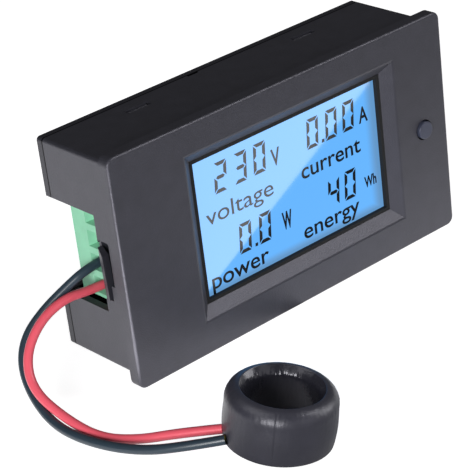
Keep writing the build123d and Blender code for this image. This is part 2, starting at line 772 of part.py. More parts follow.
def quartz_crystal():
    """An oval can, soldered flat on the board."""
    can = plate(CRYSTAL_L, CRYSTAL_W, BOARD_REAR, BOARD_REAR + CRYSTAL_H, CONTROLLER_X, CRYSTAL_Z)
    can = fillet(can.edges().filter_by(Axis.Y), CRYSTAL_W / 2 - CHIP_STANDOFF)
    return fillet(can.faces().sort_by(Axis.Y)[-1].edges(), CAP_EDGE_R)


def film_capacitor():
    x, z = TERMINAL_X1 + FILM_CAP_FROM_TERMINAL, BOARD_H / 2 - FILM_CAP_FROM_TOP
    case = plate(FILM_CAP_L, FILM_CAP_W, BOARD_REAR, BOARD_REAR + FILM_CAP_H, x, z)
    return fillet(case.faces().sort_by(Axis.Y)[-1].edges(), 2 * CAP_EDGE_R)


def electrolytic(x, from_top, radius, height):
    """A can with the crimp groove that such capacitors have above the rubber bung."""
    z = BOARD_H / 2 - from_top
    can = rod(radius, x, z, BOARD_REAR, BOARD_REAR + height)
    can = fillet(can.faces().sort_by(Axis.Y)[-1].edges(), CAP_EDGE_R)
    y0, y1 = BOARD_REAR + CRIMP_Y, BOARD_REAR + CRIMP_Y + CRIMP_W
    return can - (rod(radius, x, z, y0, y1) - rod(radius - CRIMP_D, x, z, y0, y1))


def varistor():
    """A lacquered disc on two legs."""
    x0 = TERMINAL_X1 + VARISTOR_FROM_TERMINAL - VARISTOR_T / 2
    z = VARISTOR_FROM_BOTTOM - BOARD_H / 2
    disc = rod_x(VARISTOR_R, BOARD_REAR + VARISTOR_RISE, z, x0, x0 + VARISTOR_T)
    disc = fillet(disc.edges(), VARISTOR_EDGE_R)
    leg_end = BOARD_REAR + VARISTOR_RISE - VARISTOR_R / 2
    for side in (-1, 1):
        foot = z + side * LEG_SPREAD / 2
        disc += rod(LEG_R, x0 + VARISTOR_T / 2, foot, BOARD_REAR, leg_end)
    return disc


def fusible_resistor():
    """A wound resistor lying on the board, with bent legs."""
    y = BOARD_REAR + FUSIBLE_R + CHIP_LEG_T
    z = FUSIBLE_FROM_BOTTOM - BOARD_H / 2
    half = FUSIBLE_L / 2
    body = fillet(rod_x(FUSIBLE_R, y, z, FUSIBLE_X - half, FUSIBLE_X + half).edges(), CAP_EDGE_R)
    for side in (-1, 1):
        foot = FUSIBLE_X + side * (half + FUSIBLE_REACH)
        x0, x1 = sorted((FUSIBLE_X + side * (half - CAP_EDGE_R), foot))
        body += rod_x(LEG_R, y, z, x0, x1)
        body += rod(LEG_R, foot, z, BOARD_REAR, y + LEG_R)
    return body


def rectifier_diodes():
    z = DIODE_FROM_BOTTOM - BOARD_H / 2
    places = [(DIODE_X + DIODE_PITCH * i, z) for i in range(DIODE_COUNT)]
    return chip_group(places, DIODE_L, DIODE_H, DIODE_W)


def voltage_regulator():
    """A package with three legs on one side and a broad tab on the other."""
    z = BOARD_H / 2 - REGULATOR_FROM_TOP
    y0, y1 = BOARD_REAR + CHIP_STANDOFF, BOARD_REAR + REGULATOR_H
    body = plate(REGULATOR_L, REGULATOR_W, y0, y1, REGULATOR_X, z)
    foot = REGULATOR_W / 2 - CHIP_STANDOFF
    for i in (-1, 0, 1):
        x = REGULATOR_X + REGULATOR_PITCH * i
        body += leg(x - REGULATOR_LEG_W / 2, x + REGULATOR_LEG_W / 2, z - foot - CHIP_LEG_L, z - foot)
    tab = REGULATOR_TAB_W / 2
    return body + leg(REGULATOR_X - tab, REGULATOR_X + tab, z + foot, z + foot + CHIP_LEG_L)


def divider_resistors():
    x = TERMINAL_X1 + DIVIDER_FROM_TERMINAL
    places = [(x, DIVIDER_Z - DIVIDER_PITCH * i) for i in range(DIVIDER_COUNT)]
    return chip_group(places, CHIP_RESISTOR_L, CHIP_RESISTOR_T, CHIP_RESISTOR_W)


def burden_resistors():
    places = [(BURDEN_X, BURDEN_Z), (BURDEN_X, BURDEN_Z - BURDEN_PITCH)]
    return chip_group(places, CHIP_RESISTOR_L, CHIP_RESISTOR_T, CHIP_RESISTOR_W)


def chip_capacitors():
    places = [(CHIP_CAP_X + CHIP_CAP_PITCH * i, CHIP_CAP_Z) for i in range(3)]
    x = BOARD_W / 2 - CHIP_CAP_FROM_EDGE
    places += [(x, CHIP_CAP_PITCH * (1.5 - i)) for i in range(4)]
    return chip_group(places, CHIP_CAP_L, CHIP_CAP_T, CHIP_CAP_T)


# Current transformer


def ct_place():
    """Where the ring stands: on its far edge, with the leads' side raised by the lean."""
    reach = CT_BASE_R - CT_BASE_EDGE
    lift = reach * sin(radians(CT_LEAN)) + CT_BASE_EDGE * (1 - cos(radians(CT_LEAN)))
    return Pos(CT_X, CT_Y, FLOOR_Z + lift) * Rot(0, 0, CT_HEADING) * Rot(0, -CT_LEAN, 0)


def ring(r0, r1, z0, z1):
    """A plain ring on the transformer's axis."""
    middle = (z0 + z1) / 2
    return Pos(0, 0, middle) * (Cylinder(r1, z1 - z0) - Cylinder(r0, z1 - z0))


def ct_sleeve(leads):
    """A barrel-shaped skin, rolled over the top into the bore, with a hole for each lead."""
    side_top = CT_H - CT_SHOULDER
    bulge = CT_H * CT_WAIST
    side = CT_R - 0.15
    flare_mid = CT_BORE_R + (CT_LIP_R - CT_BORE_R) * (1 - sin(radians(45)))
    edge_mid = CT_BASE_EDGE * (1 - cos(radians(45)))
    outline = Polyline((CT_BORE_R, CT_BORE_END), (CT_BORE_R, CT_H - CT_FLARE))
    outline += ThreePointArc(
        (CT_BORE_R, CT_H - CT_FLARE),
        (flare_mid, CT_H - CT_FLARE * (1 - sin(radians(45)))),
        (CT_LIP_R, CT_H),
    )
    outline += ThreePointArc(
        (CT_LIP_R, CT_H),
        (CT_LIP_R + (side - CT_LIP_R) * sin(radians(45)), side_top + CT_SHOULDER * cos(radians(45))),
        (side, side_top),
    )
    outline += ThreePointArc((side, side_top), (CT_R, bulge), (CT_BASE_R, CT_BASE_EDGE))
    outline += ThreePointArc(
        (CT_BASE_R, CT_BASE_EDGE), (CT_BASE_R - edge_mid, edge_mid), (CT_BASE_R - CT_BASE_EDGE, 0)
    )
    inner_foot = CT_BORE_R + CT_BORE_END / 2
    outline += Polyline((CT_BASE_R - CT_BASE_EDGE, 0), (inner_foot, 0), (CT_BORE_R, CT_BORE_END))
    profile = Plane.XZ * make_face(outline)
    skin = revolve(profile, Axis.Z)
    skin -= ring(CT_BORE_R + CT_INNER_WALL, CT_CAVITY_R, 0, CT_CAVITY_H)
    skin = ct_place() * skin
    for tube in leads:
        skin -= tube
    return skin


def ct_potting():
    return ring(CT_BORE_R + CT_INNER_WALL, CT_CAVITY_R, 0, CT_POTTING_T)


def winding_space():
    """The section left for core, winding and tape: inner and outer radius, lower and upper height."""
    room = CORE_GAP + TAPE_T
    r0 = CT_BORE_R + CT_INNER_WALL + CORE_GAP
    return r0, CT_CAVITY_R - 0.2 - room, CT_POTTING_T + CORE_GAP, CT_CAVITY_H - CORE_GAP


def ct_core():
    r0, r1, z0, z1 = winding_space()
    inset = WINDING_WIRE + CORE_GAP
    return ring(r0 + inset, r1 - inset, z0 + inset, z1 - inset)


def ct_winding():
    """Turns of wire round the core's section, evenly round the ring."""
    r0, r1, z0, z1 = winding_space()
    wire = WINDING_WIRE
    turn = block(r0, r1, -wire / 2, wire / 2, z0, z1)
    turn -= block(r0 + wire, r1 - wire, -wire / 2, wire / 2, z0 + wire, z1 - wire)
    return Compound([(Rot(0, 0, 360 * i / TURN_COUNT) * turn).solid() for i in range(TURN_COUNT)])


def ct_tape():
    """A band of tape round the outside of the winding."""
    r0, r1, z0, z1 = winding_space()
    return ring(r1 + CORE_GAP, r1 + CORE_GAP + TAPE_T, z0, z1)


# Leads

BLACK_ROUTE = [
    (LEAD_START_X, WIRE_Y, POLE_Z[2]),
    (-46.0, 10.6, -4.2),
    (-52.3, 11.4, -6.4),
    (-58.6, 12.0, -10.1),
    (-63.8, 10.1, -14.4),
    (-65.8, 5.4, -19.9),
    (-64.1, -1.3, FLOOR_Z + LEAD_R),
    (-63.6, -9.0, FLOOR_Z + LEAD_R),
    (-62.0, -16.7, FLOOR_Z + LEAD_R),
    (-58.0, -23.3, FLOOR_Z + LEAD_R),
    (-55.2, -29.7, FLOOR_Z + 3.5),
    (-50.5, -34.9, FLOOR_Z + 4.6),
]
RED_ROUTE = [
    (LEAD_START_X, WIRE_Y, POLE_Z[3]),
    (-45.8, 12.5, -6.4),
    (-52.2, 13.1, -7.7),
    (-57.7, 13.3, -12.1),
    (-61.7, 10.8, -18.4),
    (-61.9, 4.5, FLOOR_Z + LEAD_R),
    (-61.5, -3.8, FLOOR_Z + LEAD_R),
    (-61.5, -11.4, FLOOR_Z + LEAD_R),
    (-56.3, -18.0, FLOOR_Z + LEAD_R),
    (-53.3, -25.4, FLOOR_Z + 3.7),
    (-48.6, -32.2, FLOOR_Z + 4.9),
]
CORNER_SHARE = 0.45


def lead(name, route):
    """A round lead of straight runs and tangent arcs, each arc as large as its two runs allow."""
    points = [Vector(*p) for p in route]
    radii = []
    for before, at, after in zip(points, points[1:], points[2:]):
        first, second = at - before, after - at
        half_turn = radians(first.get_angle(second)) / 2
        radii.append(CORNER_SHARE * min(first.length, second.length) / tan(half_turn))
    path = FilletPolyline(*points, radius=radii)
    tube = sweep(Plane(origin=path @ 0, z_dir=path % 0) * Circle(LEAD_R), path=path)
    share = tube.volume / (pi * LEAD_R**2 * path.length)
    print(f"{name}: length {path.length:.1f}, volume over section x length {share:.4f}")
    print(f"{name}: bend radii {[round(r, 1) for r in radii]}")
    tube -= block(LEAD_START_X, LEAD_START_X + 2 * LEAD_R, -BODY_D, BODY_D, FLOOR_Z, -FLOOR_Z)
    return tube - ct_place() * Pos(0, 0, CT_H / 2) * Cylinder(CT_CAVITY_R, CT_H)


def lead_end(pole):
    """The stripped end of a lead, gripped between cage and bar."""
    x0 = LEAD_START_X
    return rod_x(CONDUCTOR_R, WIRE_Y, POLE_Z[pole - 1], x0, x0 + CONDUCTOR_L)


def build():
    glass_front, glass_rear = glass_plates()
    lead_black = lead("black lead", BLACK_ROUTE)
    lead_red = lead("red lead", RED_ROUTE)
    stand = ct_place()
    parts = {
        "front_housing": front_housing(),
        "rear_cover": rear_cover(),
        "snap_tongue_left": snap_tongue(-1),
        "snap_tongue_right": snap_tongue(1),
        "display_gasket": gasket(),
        "polariser_front": picture_plate(POLARISER_OVER, PICTURE_Y, POLARISER_T),
        "display_glass_front": glass_front,
        "display_glass_rear": glass_rear,
        "polariser_rear": picture_plate(POLARISER_OVER, LEDGE_Y + GLASS_T, POLARISER_T),
        "diffuser_film": picture_plate(POLARISER_OVER, FILM_Y, DIFFUSER_T),
        "light_guide": light_guide(),
        "reflector_film": picture_plate(POLARISER_OVER, REFLECTOR_Y, REFLECTOR_T),
        "display_frame": display_frame(),
        "backlight_lamps": backlight_lamps(),
        "display_pins": display_pins(),
        "button_cap": button_cap(),
        "switch_plunger": switch_plunger(),
        "switch_body": switch_body(),
        "switch_dome": switch_dome(),
        "switch_lid": switch_lid(),
        "main_board": main_board(),
        "board_screws": board_screws(),
        "terminal_housing": terminal_housing(),
        "terminal_contacts": terminal_contacts(),
        "metering_chip": metering_chip(),
        "microcontroller": microcontroller(),
        "display_driver": display_driver(),
        "memory_chip": memory_chip(),
        "quartz_crystal": quartz_crystal(),
        "film_capacitor": film_capacitor(),
        "smoothing_capacitor_large": electrolytic(LARGE_CAP_X, LARGE_CAP_FROM_TOP, LARGE_CAP_R, LARGE_CAP_H),
        "smoothing_capacitor_small": electrolytic(SMALL_CAP_X, SMALL_CAP_FROM_TOP, SMALL_CAP_R, SMALL_CAP_H),
        "varistor": varistor(),
        "fusible_resistor": fusible_resistor(),
        "rectifier_diodes": rectifier_diodes(),
        "voltage_regulator": voltage_regulator(),
        "divider_resistors": divider_resistors(),
        "burden_resistors": burden_resistors(),
        "chip_capacitors": chip_capacitors(),
        "lead_end_black": lead_end(3),
        "lead_end_red": lead_end(4),
        "ct_lead_black": lead_black,
        "ct_lead_red": lead_red,
        "ct_sleeve": ct_sleeve([lead_black, lead_red]),
        "ct_potting": stand * ct_potting(),
        "ct_core": stand * ct_core(),
        "ct_winding": stand * ct_winding(),
        "ct_tape": stand * ct_tape(),
    }
    for pole in range(1, POLE_COUNT + 1):
        parts[f"terminal_cage_{pole}"] = terminal_cage(pole)
        parts[f"terminal_screw_{pole}"] = terminal_screw(pole)
    return parts


os.makedirs("parts", exist_ok=True)
for node, shape in build().items():
    export_step(shape, f"parts/{node}.step")
    print(f"{node}: {len(shape.solids())} solids, {shape.volume:.1f} mm3")
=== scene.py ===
# %% [markdown]
# AC power meter with a ring current transformer
#
# A flush panel meter: a dark box with a bezel, a backlit display and one push button. A green screw
# terminal shows in a notch of its left side, and two thin leads run from it to a ring that measures the
# current. The solid parts come ready made from the CAD frame. This lesson gives them their finishes, and
# builds what CAD leaves plain: the two soft leads, the ring's soft sleeve, the picture on the display,
# and a studio to see it all in.

import json
from math import atan2, cos, pi, radians, sin

import bpy
from mathutils import Matrix, Vector
from mathutils.noise import noise as noise_of

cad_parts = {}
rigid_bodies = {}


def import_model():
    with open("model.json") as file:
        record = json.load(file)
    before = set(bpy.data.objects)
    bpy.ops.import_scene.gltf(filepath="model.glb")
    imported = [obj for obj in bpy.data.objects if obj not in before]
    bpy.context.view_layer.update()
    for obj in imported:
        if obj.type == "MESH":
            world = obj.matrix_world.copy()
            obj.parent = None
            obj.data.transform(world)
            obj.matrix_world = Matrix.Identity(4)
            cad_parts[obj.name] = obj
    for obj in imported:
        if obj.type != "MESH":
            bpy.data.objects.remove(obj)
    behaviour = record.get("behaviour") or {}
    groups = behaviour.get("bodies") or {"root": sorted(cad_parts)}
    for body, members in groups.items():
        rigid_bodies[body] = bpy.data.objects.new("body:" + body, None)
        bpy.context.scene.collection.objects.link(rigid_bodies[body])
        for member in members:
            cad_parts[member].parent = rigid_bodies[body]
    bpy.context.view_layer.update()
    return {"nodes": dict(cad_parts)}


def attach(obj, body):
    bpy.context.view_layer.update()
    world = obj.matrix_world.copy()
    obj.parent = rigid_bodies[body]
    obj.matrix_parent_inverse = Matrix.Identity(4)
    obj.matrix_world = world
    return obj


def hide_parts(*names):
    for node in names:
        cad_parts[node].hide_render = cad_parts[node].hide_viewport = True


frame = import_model()
MM = 0.001
scene = bpy.context.scene


def put(name, data):
    """A new object in the scene, for a mesh, a curve, a camera or a lamp."""
    thing = bpy.data.objects.new(name, data)
    scene.collection.objects.link(thing)
    return thing


print("pieces from CAD:", len(frame["nodes"]))

# %% [markdown]
# The camera
#
# The picture was taken from the left, slightly from above and from close by, so the near side of the
# bezel is clearly larger than the far side. A camera in Blender looks along its own -Z, with +X to the
# right of the picture. Its place and its three directions were found by matching the corners of the box
# with the photograph, and they are written here as they came out. Aiming it with a Track To constraint
# would be shorter, but it would lose the small roll that the photographer's hand gave the picture.

# %% Camera
CAMERA_PLACE = (-0.23773, -0.27920, 0.17246)
PICTURE_RIGHT = (0.74028185, -0.6628623, -0.11223353)
PICTURE_DOWN = (-0.37206296, -0.26489319, -0.88960708)
LOOKING = (0.55995709, 0.70031791, -0.44272213)
LENS = 152.91
SENSOR = 36.0
NEAREST_SEEN = 0.01


def camera_frame():
    """The camera's place and turn as one matrix."""
    columns = [Vector(PICTURE_RIGHT), -Vector(PICTURE_DOWN), -Vector(LOOKING)]
    turn = Matrix(columns).transposed().to_4x4()
    return Matrix.Translation(CAMERA_PLACE) @ turn


camera_data = bpy.data.cameras.new("photo_camera")
camera_data.lens = LENS
camera_data.sensor_width = SENSOR
camera_data.clip_start = NEAREST_SEEN
camera = put("photo_camera", camera_data)
camera.matrix_world = camera_frame()
scene.camera = camera
print("camera distance to the display in mm:", round(Vector(CAMERA_PLACE).length / MM, 1))

# %% [markdown]
# Helpers for nodes
#
# A material is a tree of nodes, and so is a Geometry Nodes modifier. Each node could be added, set and
# linked in lines of its own, which is easy to read once and tiring the tenth time. The helpers below do it
# in one call: a plain value is typed on the node's own socket, and an output of another node is linked.

# %% Node helpers
UNIT = (0.0, 1.0)


def feed(tree, node, inputs):
    """Types each plain value on a socket of a node, and links each value that comes from another node."""
    for socket, value in inputs.items():
        if isinstance(value, bpy.types.NodeSocket):
            tree.links.new(value, node.inputs[socket])
        else:
            node.inputs[socket].default_value = value


def add_node(tree, kind, inputs, output=0, **settings):
    """Adds a node with its settings and inputs, and gives back one of its outputs."""
    node = tree.nodes.new(kind)
    for setting, value in settings.items():
        setattr(node, setting, value)
    feed(tree, node, inputs)
    return node.outputs[output]


def maths(tree, operation, *values):
    """The result of a Math node."""
    return add_node(tree, "ShaderNodeMath", dict(enumerate(values)), operation=operation)


def spread(tree, value, limits, onto=UNIT, smooth=False):
    """Turns a value between two limits into one between two others, and holds it there beyond them."""
    ends = {"From Min": limits[0], "From Max": limits[1], "To Min": onto[0], "To Max": onto[1]}
    blend = "SMOOTHSTEP" if smooth else "LINEAR"
    return add_node(tree, "ShaderNodeMapRange", {"Value": value, **ends}, interpolation_type=blend)


def ramp(tree, value, stops):
    """Turns a value from 0 to 1 into a colour. Each stop is a place and a colour."""
    node = tree.nodes.new("ShaderNodeValToRGB")
    marks = node.color_ramp.elements
    for mark, (place, colour) in zip(marks, (stops[0], stops[-1])):
        mark.position = place
        mark.color = (*colour, 1.0)
    for place, colour in stops[1:-1]:
        marks.new(place).color = (*colour, 1.0)
    feed(tree, node, {"Fac": value})
    return node.outputs["Color"]


print("helpers for nodes:", ", ".join(helper.__name__ for helper in (feed, add_node, maths, spread, ramp)))

# %% [markdown]
# Helpers for finishes
#
# Every finish is a Principled shader with a few nodes that vary its colour, its roughness or its bump. A
# value that is the same all over the surface is typed on the shader's own socket. Only what varies comes
# through a link. All patterns read Object coordinates: the pieces are in metres, with their place in the
# mesh, so a grain of 4000 to the metre is a quarter of a millimetre wide on every piece.

# %% Finish helpers
CLOUD_GRAINS = 12
CLOUD_DETAIL, GRAIN_DETAIL = 3.0, 2.0
CLOUD_EDGES = (0.3, 0.7)
SRGB_KNEE, SRGB_SLOPE, SRGB_LIFT, SRGB_POWER = 0.04045, 12.92, 0.055, 2.4


def principled(tree):
    """The Principled shader in a material's tree."""
    return next(node for node in tree.nodes if node.type == "BSDF_PRINCIPLED")


def new_material(name):
    """A plain material, with its tree and its shader."""
    material = bpy.data.materials.new(name)
    material.use_nodes = True
    return material, material.node_tree, principled(material.node_tree)


def object_coordinates(tree):
    """The coordinates that all patterns use."""
    return add_node(tree, "ShaderNodeTexCoord", {}, "Object")


def along_axis(tree, axis):
    """How far along one axis a spot lies, in metres."""
    return add_node(tree, "ShaderNodeSeparateXYZ", {"Vector": object_coordinates(tree)}, axis)


def noise(tree, grain, detail):
    """A noise pattern with so many grains to the metre."""
    where = object_coordinates(tree)
    return add_node(tree, "ShaderNodeTexNoise", {"Vector": where, "Scale": grain, "Detail": detail}, "Fac")


def around(colour, share):
    """Two colours, a little darker and a little lighter than the one given."""
    return [tuple(c * (1 - share) for c in colour), tuple(c * (1 + share) for c in colour)]


def surface(name, colour, roughness, grain, relief, mottle=0.12, sheen_spread=0.06, **sockets):
    """A finish with a fine grain of some relief in mm, faint clouds in its colour and an uneven gloss."""
    material, tree, shader = new_material(name)
    clouds = noise(tree, grain / CLOUD_GRAINS, CLOUD_DETAIL)
    fine = noise(tree, grain, GRAIN_DETAIL)
    feed(tree, shader, {
        "Base Color": ramp(tree, clouds, list(zip(CLOUD_EDGES, around(colour, mottle)))),
        "Roughness": spread(tree, fine, UNIT, onto=(roughness - sheen_spread, roughness + sheen_spread)),
        "Normal": add_node(tree, "ShaderNodeBump", {"Distance": relief * MM, "Height": fine}),
        **sockets,
    })
    return material


def linear(red, green, blue):
    """A colour on a picture's scale of 0 to 255, as the linear numbers that Blender works with."""
    shares = [value / 255 for value in (red, green, blue)]
    return tuple(s / SRGB_SLOPE if s <= SRGB_KNEE else ((s + SRGB_LIFT) / (1 + SRGB_LIFT)) ** SRGB_POWER
                 for s in shares)


def dress(material, *nodes):
    """Gives CAD pieces a finish."""
    for node in nodes:
        piece = frame["nodes"][node]
        piece.data.materials.clear()
        piece.data.materials.append(material)
    print(material.name, "is on", len(nodes), "pieces" if len(nodes) > 1 else "piece")


print("a grey of 128 in linear numbers:", round(linear(128, 128, 128)[0], 3))

# %% [markdown]
# The two leads
#
# The current transformer hangs on two thin leads with smooth insulation. They leave the terminal to the
# left, droop to the floor and run forward into the ring. Each lead is a curve: one NURBS spline, which its
# control points pull along the route. It bends smoothly all the way, as a real lead does. A Bezier curve
# would also do, but it needs two handles at each point.

# %% Lead routes
BLACK_ROUTE = [
    (-39.6, 11.2, -2.54), (-43.6, 11.2, -2.75), (-47.8, 12.9, -5.54), (-52.8, 14.7, -9.1),
    (-57.7, 14.9, -12.78), (-61.2, 12.4, -16.78), (-63.4, 6.7, -20.78), (-64.6, -1.6, -23.53),
    (-63.2, -11.7, -23.98), (-59.9, -21.7, -23.22), (-55.2, -29.7, -21.3), (-50.5, -34.9, -20.2),
]
RED_ROUTE = [
    (-39.6, 11.2, -7.62), (-43.6, 11.2, -7.45), (-49.6, 11.3, -6.58), (-56.1, 11.3, -8.81),
    (-61.4, 9.9, -13.66), (-63.7, 5.7, -18.56), (-62.8, -1.8, -22.09), (-61.2, -10.3, -24.17),
    (-57.9, -18.2, -23.21), (-53.3, -25.4, -21.1), (-48.6, -32.2, -19.9),
]
LEAD_D = 1.9
LEAD_ORDER, LEAD_STEPS, LEAD_ROUNDNESS = 3, 10, 8


def lead(name, route, material, node, length):
    """One insulated lead that follows a route, with its length printed beside the length given for it."""
    curve = bpy.data.curves.new(name, "CURVE")
    curve.dimensions = "3D"
    spline = curve.splines.new("NURBS")
    spline.points.add(len(route) - 1)
    for point, place in zip(spline.points, route):
        point.co = (*(value * MM for value in place), 1.0)
    spline.order_u = LEAD_ORDER
    spline.use_endpoint_u = True
    spline.resolution_u = LEAD_STEPS
    curve.bevel_depth = LEAD_D / 2 * MM
    curve.bevel_resolution = LEAD_ROUNDNESS
    curve.use_fill_caps = True
    curve.materials.append(material)
    piece = put(name, curve)
    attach(piece, "root")
    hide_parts(node)
    measured = round(spline.calc_length() / MM, 1)
    print(name, "measures", measured, "mm and is declared", round(length / MM, 1))


lead_black = surface("lead_black_insulation", linear(45, 58, 69), roughness=0.3, grain=900, relief=0.01,
                     mottle=0.15)
lead_red = surface("lead_red_insulation", linear(232, 92, 108), roughness=0.33, grain=900, relief=0.01,
                   mottle=0.06)
BLACK_LENGTH, RED_LENGTH = 0.0801, 0.0760
lead("black_lead", BLACK_ROUTE, lead_black, "ct_lead_black", BLACK_LENGTH)
lead("red_lead", RED_ROUTE, lead_red, "ct_lead_red", RED_LENGTH)

# %% [markdown]
# Dark housing plastic
#
# The housing is moulded in dark grey plastic with a fine spark-eroded texture: it looks even from a
# distance and scatters the light into a soft sheen along its edges. The button is a little bluer, and the
# foam frame round the display is nearly black. A photograph of such a texture could be laid on it, but a
# noise pattern costs nothing and has no seams.

# %% Housing finishes
HOUSING_GREY = (50, 50, 57)
PLASTIC_GLOSS = {"Specular Tint": (0.9, 0.88, 1.0, 1.0), "IOR": 1.55}
housing = surface("housing_plastic", linear(*HOUSING_GREY), roughness=0.44, grain=3600, relief=0.05,
                  mottle=0.1, **PLASTIC_GLOSS)
dress(housing, "front_housing", "rear_cover", "snap_tongue_left", "snap_tongue_right")
button = surface("button_plastic", linear(58, 62, 78), roughness=0.42, grain=5200, relief=0.01,
                 mottle=0.05, **PLASTIC_GLOSS)
dress(button, "button_cap")
gasket = surface("gasket_foam", linear(13, 13, 15), roughness=0.85, grain=3500, relief=0.05, mottle=0.2)
dress(gasket, "display_gasket")
print("housing colour in linear numbers:", [round(c, 3) for c in linear(*HOUSING_GREY)])

# %% [markdown]
# The seam of the rear cover
#
# The rear cover closes the box with a flush joint, which shows as a thin dark line near the rear of the
# top and the sides. The two solids meet there without a groove. The material draws the line: it reads how
# far back a spot lies, and takes colour and gloss away close to the joint. A cut groove would also do, but
# a line of a quarter of a millimetre needs no shape of its own.

# %% Seam line
SEAM_AT, SEAM_REACH = 19.55, 0.5
UNCHANGED, IN_THE_LINE, ON_THE_COVER = (1.0,) * 3, (0.1,) * 3, (0.72,) * 3
LINE_FROM, LINE_TO, SOFT_EDGE = 0.36, 0.64, 0.08
SEAM_SHADES = [(LINE_FROM - SOFT_EDGE, UNCHANGED), (LINE_FROM, IN_THE_LINE), (LINE_TO, IN_THE_LINE),
               (LINE_TO + SOFT_EDGE, ON_THE_COVER)]
USUAL_SPECULAR = 0.5


def seam_line(material):
    """Darkens the joint where the cover meets the housing, and the cover a little."""
    tree = material.node_tree
    shader = principled(tree)
    plain = shader.inputs["Base Color"].links[0].from_socket
    reach = ((SEAM_AT - SEAM_REACH) * MM, (SEAM_AT + SEAM_REACH) * MM)
    share = ramp(tree, spread(tree, along_axis(tree, "Y"), reach), SEAM_SHADES)
    feed(tree, shader, {
        "Base Color": add_node(tree, "ShaderNodeHueSaturation", {"Color": plain, "Value": share}),
        "Specular IOR Level": spread(tree, share, UNIT, onto=(0.0, USUAL_SPECULAR)),
    })


seam_line(housing)
print("width of the seam's dark line in mm:", round((LINE_TO - LINE_FROM) * 2 * SEAM_REACH, 2))

# %% [markdown]
# The ring's soft sleeve
#
# The ring wears a soft black sleeve that is rolled over its top into the bore. Just below the roll the
# bore is a little narrower, in a crease with fine wrinkles, and a seam runs down the outside. CAD gives
# the plain skin. Here the same skin is spun from a profile in small steps, so that each step can carry
# some wrinkle. The roll is smoother and shinier than the rest, so it has a finish of its own.

# %% Ring finishes
SLEEVE_GLOSS = {"Specular Tint": (0.94, 0.93, 1.0, 1.0)}
sleeve = surface("transformer_sleeve", linear(40, 40, 48), roughness=0.38, grain=2400, relief=0.03,
                 **SLEEVE_GLOSS)
fold = surface("sleeve_fold", linear(34, 34, 41), roughness=0.2, grain=2400, relief=0.03, **SLEEVE_GLOSS)
potting = surface("potting_resin", linear(34, 34, 36), roughness=0.6, grain=1200, relief=0.05, mottle=0.2)
dress(potting, "ct_potting")

# %% [markdown]
# Profile of the sleeve
#
# Each point of the profile holds its radius, its height and how far it may wrinkle, all in millimetres. A
# wrinkle only moves a point away from the axis, so the bore is never narrower than the profile. The first
# points, from the bore up over the roll, wear the shinier finish. A noise pattern gives the wrinkles,
# because a row of equal folds would look machined.

# %% Sleeve profile
SLEEVE_PROFILE = [
    (7.4, 0.0, 0.0), (6.97, 0.8, 0.0), (6.95, 3.0, 0.01), (6.92, 6.0, 0.02), (6.85, 8.0, 0.05),
    (6.8, 8.7, 0.1), (6.79, 9.0, 0.14), (6.82, 9.25, 0.18), (6.92, 9.48, 0.18), (7.06, 9.7, 0.12),
    (7.22, 9.92, 0.06), (7.4, 10.17, 0.03), (7.6, 10.45, 0.02), (7.78, 10.7, 0.02),
    (7.9, 10.88, 0.02), (7.98, 10.97, 0.02), (8.06, 11.0, 0.02), (8.15, 10.96, 0.03),
    (8.55, 10.86, 0.05), (8.95, 10.7, 0.06), (9.35, 10.46, 0.06),
    (9.75, 10.12, 0.06), (10.08, 9.7, 0.06), (10.33, 9.2, 0.05), (10.48, 8.7, 0.05), (10.54, 8.2, 0.04),
    (10.52, 7.7, 0.04), (10.54, 6.9, 0.04), (10.62, 5.6, 0.04), (10.66, 4.2, 0.04), (10.6, 2.8, 0.03),
    (10.48, 1.6, 0.02), (10.36, 0.7, 0.0), (10.26, 0.2, 0.0), (10.0, 0.0, 0.0), (9.95, 0.0, 0.0),
    (9.95, 9.3, 0.0), (7.6, 9.3, 0.0), (7.6, 0.0, 0.0),
]
FOLD_POINTS = 14
WRINKLES_ROUND, WRINKLES_UP = 42.0, 0.5
BROAD_SHARE, FINE_SHARE, FINER_BY, USUAL_FOLD = 0.65, 0.35, 2.3, 0.5
GROOVE_ANGLE, GROOVE_HALF, GROOVE_DEPTH, GROOVE_FROM_R = radians(221.0), radians(1.6), 0.1, 9.0


def wrinkle(angle, height):
    """Folds from 0 to 1 that run down into the bore."""
    round_axis = WRINKLES_ROUND / pi
    spot = Vector((cos(angle) * round_axis, sin(angle) * round_axis, height * WRINKLES_UP))
    folds = BROAD_SHARE * noise_of(spot) + FINE_SHARE * noise_of(spot * FINER_BY)
    return min(1.0, max(0.0, USUAL_FOLD + folds))


def skin_radius(angle, radius, height, amount):
    """The profile's radius with its wrinkle, and with the groove of the seam on the outside."""
    r = radius + amount * wrinkle(angle, height)
    off_seam = abs((angle - GROOVE_ANGLE + pi) % (2 * pi) - pi)
    if off_seam < GROOVE_HALF and radius > GROOVE_FROM_R and amount > 0:
        r -= GROOVE_DEPTH * (1 - off_seam / GROOVE_HALF)
    return r


print("narrowest bore of the sleeve in mm:", 2 * min(radius for radius, height, amount in SLEEVE_PROFILE))

# %% [markdown]
# Where the ring stands
#
# The ring stands on the floor and leans a little on its leads. Its place is worked out from the lowest
# point of its foot, so that it touches the floor. Moving it down by eye would also do, but it would have
# to be done again after each change of the lean.

# %% Ring place
FLOOR = -24.8
RING_FOOT = (-41.1, -38.5)
RING_HEADING, RING_LEAN = radians(138.0), radians(10.0)
RING_FOOT_R, RING_EDGE = 10.3, 0.3


